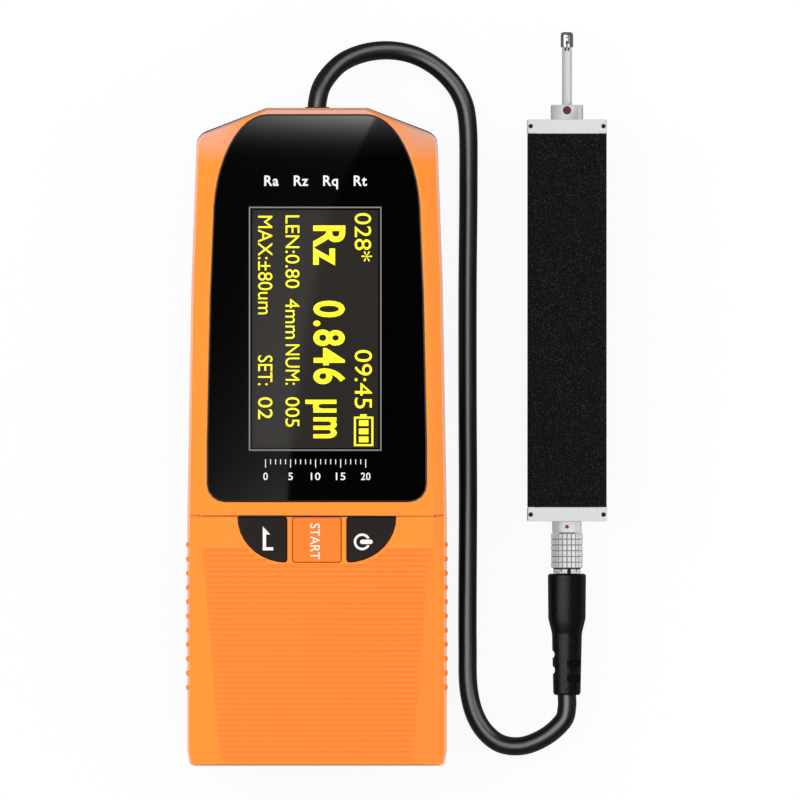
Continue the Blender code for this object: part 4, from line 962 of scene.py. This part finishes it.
# Pieces inside keep the frame's solids
INSIDE = {
    "display_module": PANEL, "main_board": BOARD, "drive_board": BOARD, "battery_pack": WRAP,
    "enter_switch": SWITCH, "start_switch": SWITCH, "power_switch": SWITCH, "carriage": ALLOY,
    "motor_bulkhead": ALLOY, "drive_nut": BRASS, "guide_rod_left": GROUND, "guide_rod_right": GROUND,
    "lead_screw": GROUND, "gear_motor": CAN,
}
for name, look in INSIDE.items():
    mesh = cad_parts[name].data
    mesh.materials.clear()
    mesh.materials.append(look)


# Light and ground

TABLE_SIZE = 9.0  # metres
TABLE_TOP = -0.00005  # metres, just under the object
PLAIN_SHARE = 0.92  # how much of the table the camera sees as plain white; the rest keeps the shadow
MIRRORED_WHITE = 0.92  # the table's brightness in gloss
GLOSS_DIMMING = 0.62  # how much is taken off that where the table is painted dimmer in gloss: a painted reflection
UNDER_HOST = 29.5  # half width of the dimmer patch under the host
FROM_CABLE = 34.0  # where the dimmer patch under the cable and the drive starts, on X
DIM_PATCH_NEAR = 22.0  # from how far away that dimmer patch is mirrored


def make_floor():
    """White table top. Camera rays see most of it as plain white, and it keeps a soft shadow.

    Gloss mirrors it as a painted dim patch under the host, and from close by as a painted dim patch round the
    cable and the drive: a painted reflection, which draws the edges of the metal.
    """
    bpy.ops.mesh.primitive_plane_add(size=TABLE_SIZE, location=(0.0, 0.0, TABLE_TOP))
    floor = bpy.context.object
    floor.name = "table_top"
    made = bpy.data.materials.new("white_table_top")
    made.use_nodes = True
    tree = made.node_tree
    tree.nodes.clear()
    path = add_node(tree, "ShaderNodeLightPath")
    matt = add_node(tree, "ShaderNodeBsdfDiffuse", Color=(0.9, 0.9, 0.9, 1.0))
    plain = add_node(tree, "ShaderNodeEmission", Color=(1.0, 1.0, 1.0, 1.0), Strength=1.0)
    share = math_node(tree, "MULTIPLY", path.outputs["Is Camera Ray"], PLAIN_SHARE)
    place = add_node(tree, "ShaderNodeTexCoord").outputs["Object"]
    at_x = add_node(tree, "ShaderNodeSeparateXYZ", Vector=place).outputs["X"]
    # painted reflection: gloss sees the table dimmer under the host and close round the drive
    under_host = math_node(tree, "COMPARE", at_x, 0.0, UNDER_HOST * MM)
    close_by = math_node(tree, "LESS_THAN", path.outputs["Ray Length"], DIM_PATCH_NEAR * MM)
    past_host = math_node(tree, "GREATER_THAN", at_x, FROM_CABLE * MM)
    round_drive = math_node(tree, "MULTIPLY", past_host, close_by)
    dim_patch = math_node(tree, "MULTIPLY", math_node(tree, "MAXIMUM", under_host, round_drive), GLOSS_DIMMING)
    level = math_node(tree, "SUBTRACT", MIRRORED_WHITE, dim_patch)
    in_gloss = add_node(tree, "ShaderNodeEmission", Color=(1.0, 1.0, 1.0, 1.0), Strength=level)
    real = add_node(
        tree, "ShaderNodeMixShader", _0=path.outputs["Is Glossy Ray"], _1=matt.outputs["BSDF"],
        _2=in_gloss.outputs["Emission"],
    )
    both = add_node(
        tree, "ShaderNodeMixShader", _0=share, _1=real.outputs["Shader"], _2=plain.outputs["Emission"],
    )
    out = add_node(tree, "ShaderNodeOutputMaterial")
    tree.links.new(both.outputs["Shader"], out.inputs["Surface"])
    floor.data.materials.append(made)


def make_room():
    """Soft room light: bright overhead, dim at the horizon, plain white to the camera.

    Glossy surfaces mirror it with a dark right side.
    """
    world = bpy.data.worlds.new("studio_room")
    bpy.context.scene.world = world
    world.use_nodes = True
    tree = world.node_tree
    tree.nodes.clear()
    way = add_node(tree, "ShaderNodeTexCoord").outputs["Generated"]
    parts = add_node(tree, "ShaderNodeSeparateXYZ", Vector=way)
    level = add_node(
        tree, "ShaderNodeMapRange", Value=parts.outputs["Z"], From_Min=0.05, From_Max=0.8,
        To_Min=0.6, To_Max=0.93,
    )
    side = add_node(
        tree, "ShaderNodeMapRange", Value=parts.outputs["X"], From_Min=0.1, From_Max=0.7,
        To_Min=1.0, To_Max=0.5,
    )
    path = add_node(tree, "ShaderNodeLightPath")
    mirror = math_node(tree, "MULTIPLY", level.outputs["Result"], side.outputs["Result"])
    glossy = add_node(
        tree, "ShaderNodeMix", {"data_type": "FLOAT"}, _0=path.outputs["Is Glossy Ray"],
        _2=level.outputs["Result"], _3=mirror,
    )
    strength = add_node(
        tree, "ShaderNodeMix", {"data_type": "FLOAT"}, _0=path.outputs["Is Camera Ray"],
        _2=glossy.outputs[0], _3=1.0,
    )
    light = add_node(
        tree, "ShaderNodeBackground", Color=(1.0, 1.0, 1.0, 1.0), Strength=strength.outputs[0]
    )
    out = add_node(tree, "ShaderNodeOutputWorld")
    tree.links.new(light.outputs["Background"], out.inputs["Surface"])


LAMP_TARGET = Vector((0.02, 0.0, 0.02))  # the middle of the object, in metres


def make_lamp(name, spot, size, power):
    """Softbox of a (width, length) that looks at the middle of the object."""
    bpy.ops.object.light_add(type="AREA", location=spot)
    lamp = bpy.context.object
    lamp.name = name
    lamp.data.shape = "RECTANGLE"
    lamp.data.size, lamp.data.size_y = size
    lamp.data.energy = power
    lamp.rotation_euler = (LAMP_TARGET - Vector(spot)).to_track_quat("-Z", "Y").to_euler()
    lamp.visible_camera = False
    return lamp


def make_streak_light(name, spot, size, power, *pieces):
    """Softbox that draws a soft streak along the given pieces and shows nowhere else."""
    lamp = make_lamp(name, spot, size, power)
    lamp.visible_diffuse = False
    receivers = bpy.data.collections.new(name)
    for piece in pieces:
        receivers.objects.link(bpy.data.objects[piece])
    lamp.light_linking.receiver_collection = receivers


CARD_HEIGHT = 0.9  # metres
CARD_POWER = 3.0
CARD_THICK = 0.5
DISPLAY_CARD_DROP = 3.0  # how far the display's card hangs below the others
CARD_BOX = (-34.0, 34.0, -20.0, 82.0)  # what the cards cover together, as mirrored in the lens
CARD_RAMP = ((-26.0, -16.0), (12.0, 78.0))  # lens points between which their brightness runs
# the slanting edge of the glare, from top to foot, as lens points in millimetres
GLARE_EDGE = (
    (16.5, 82.0), (13.92, 76.68), (10.56, 70.2), (6.96, 62.76), (3.6, 55.32), (0.24, 42.1),
    (-2.4, 28.92), (-4.56, 12.6), (-6.48, -3.0), (-7.2, -15.0), (-7.4, -20.0),
)


def mirrored(x, y):
    """The place at CARD_HEIGHT that the camera sees mirrored in the lens at a point; in millimetres."""
    face = LENS_FACE * MM
    share = (CARD_HEIGHT - face) / (CAMERA_SPOT.z - face)
    return x + (x - CAMERA_SPOT.x / MM) * share, y + (y - CAMERA_SPOT.y / MM) * share


def make_card(name, outline, levels, slope, drop=0.0):
    """A reflector card that shows only in glossy surfaces.

    levels are its (place, brightness) steps from the lens's foot, 0, to its top, 1. slope is its
    (left, right) brightness across the lens. drop is how far it hangs below the others.
    """
    underside = CARD_HEIGHT / MM - drop
    card = plate(name, [mirrored(x, y) for x, y in outline], underside, underside + CARD_THICK)
    made = bpy.data.materials.new(name)
    made.use_nodes = True
    tree = made.node_tree
    tree.nodes.clear()
    place = add_node(tree, "ShaderNodeTexCoord").outputs["Object"]
    parts = add_node(tree, "ShaderNodeSeparateXYZ", Vector=place)
    (left, foot), (right, head) = [[c * MM for c in mirrored(*point)] for point in CARD_RAMP]
    along = add_node(tree, "ShaderNodeMapRange", Value=parts.outputs["Y"], From_Min=foot, From_Max=head)
    ramp = add_node(tree, "ShaderNodeValToRGB", Fac=along.outputs["Result"])
    stops = ramp.color_ramp.elements
    stops.remove(stops[1])
    stops[0].position = levels[0][0]
    stops[0].color = (*[levels[0][1]] * 3, 1.0)
    for position, level in levels[1:]:
        stops.new(position).color = (level, level, level, 1.0)
    across = add_node(
        tree, "ShaderNodeMapRange", Value=parts.outputs["X"], From_Min=left, From_Max=right,
        To_Min=slope[0] * CARD_POWER, To_Max=slope[1] * CARD_POWER,
    )
    glow = add_node(
        tree, "ShaderNodeEmission", Color=ramp.outputs["Color"], Strength=across.outputs["Result"]
    )
    out = add_node(tree, "ShaderNodeOutputMaterial")
    tree.links.new(glow.outputs["Emission"], out.inputs["Surface"])
    card.data.materials.append(made)
    card.visible_camera = False
    card.visible_diffuse = False
    card.visible_shadow = False
    card.visible_transmission = False


def make_cards():
    """The glare on the lens: a bright card left of its slanting edge and a dark one right of it.

    The display has a card of its own in front of the bright one.
    """
    left, right, low, high = CARD_BOX
    bright = [(left, low), (left, high)] + list(GLARE_EDGE)
    dark = [(right, high), (right, low)] + list(reversed(GLARE_EDGE))
    make_card("glare_card", bright[::-1], (
        (0.0, 0.2), (0.09, 0.12), (0.24, 0.06), (0.4, 0.028), (0.5, 0.018), (0.65, 0.01), (0.85, 0.012),
        (0.89, 0.018), (0.91, 0.042), (0.93, 0.1), (0.95, 0.247), (0.97, 0.52), (0.995, 1.0),
    ), (0.45, 1.75))
    make_card("dark_card", dark[::-1], (
        (0.0, 0.0), (0.88, 0.0), (0.906, 0.012), (0.93, 0.045), (0.955, 0.15), (0.995, 0.42),
    ), (1.0, 1.0))
    left, _, low, high = DISPLAY_BOX
    # from where the slanting edge crosses the display's top to where it crosses its foot
    crossing = [(3.4, high)] + list(GLARE_EDGE[5:8]) + [(-6.42, low)]
    over_display = [(left, low), (left, high)] + crossing
    make_card("display_glare_card", over_display[::-1], (
        (0.0, 0.24), (0.3, 0.2), (0.5, 0.16), (0.8, 0.1),
    ), (0.7, 1.3), DISPLAY_CARD_DROP)


# The pieces were lit one by one in the photo: the metal and rubber of the drive don't mirror these
for name in ("housing_front", "housing_rear", "signal_cable", "drive_tube"):
    bpy.data.objects[name].visible_glossy = False

make_floor()
make_room()
make_lamp("softbox_left", (-0.72, 0.25, 1.25), (0.35, 1.3), 8.0).visible_glossy = False
make_lamp("softbox_right", (1.1, -0.1, 0.9), (0.6, 0.9), 2.0)
make_streak_light("streak_on_cable", (-0.12, 0.0, 1.2), (1.1, 1.1), 88.0, "signal_cable")
make_streak_light("streak_on_loop", (0.75, 0.85, 0.85), (1.0, 1.0), 46.0, "signal_cable")
make_streak_light("streak_on_rubber", (-0.45, 0.0, 1.0), (0.4, 1.6), 42.0, "flex_boot", "outlet_bush")
make_streak_light("streak_on_nose", (-0.45, 0.0, 1.0), (0.4, 1.6), 16.0, "pickup_skid")
make_cards()
bpy.context.scene.view_settings.view_transform = "Standard"
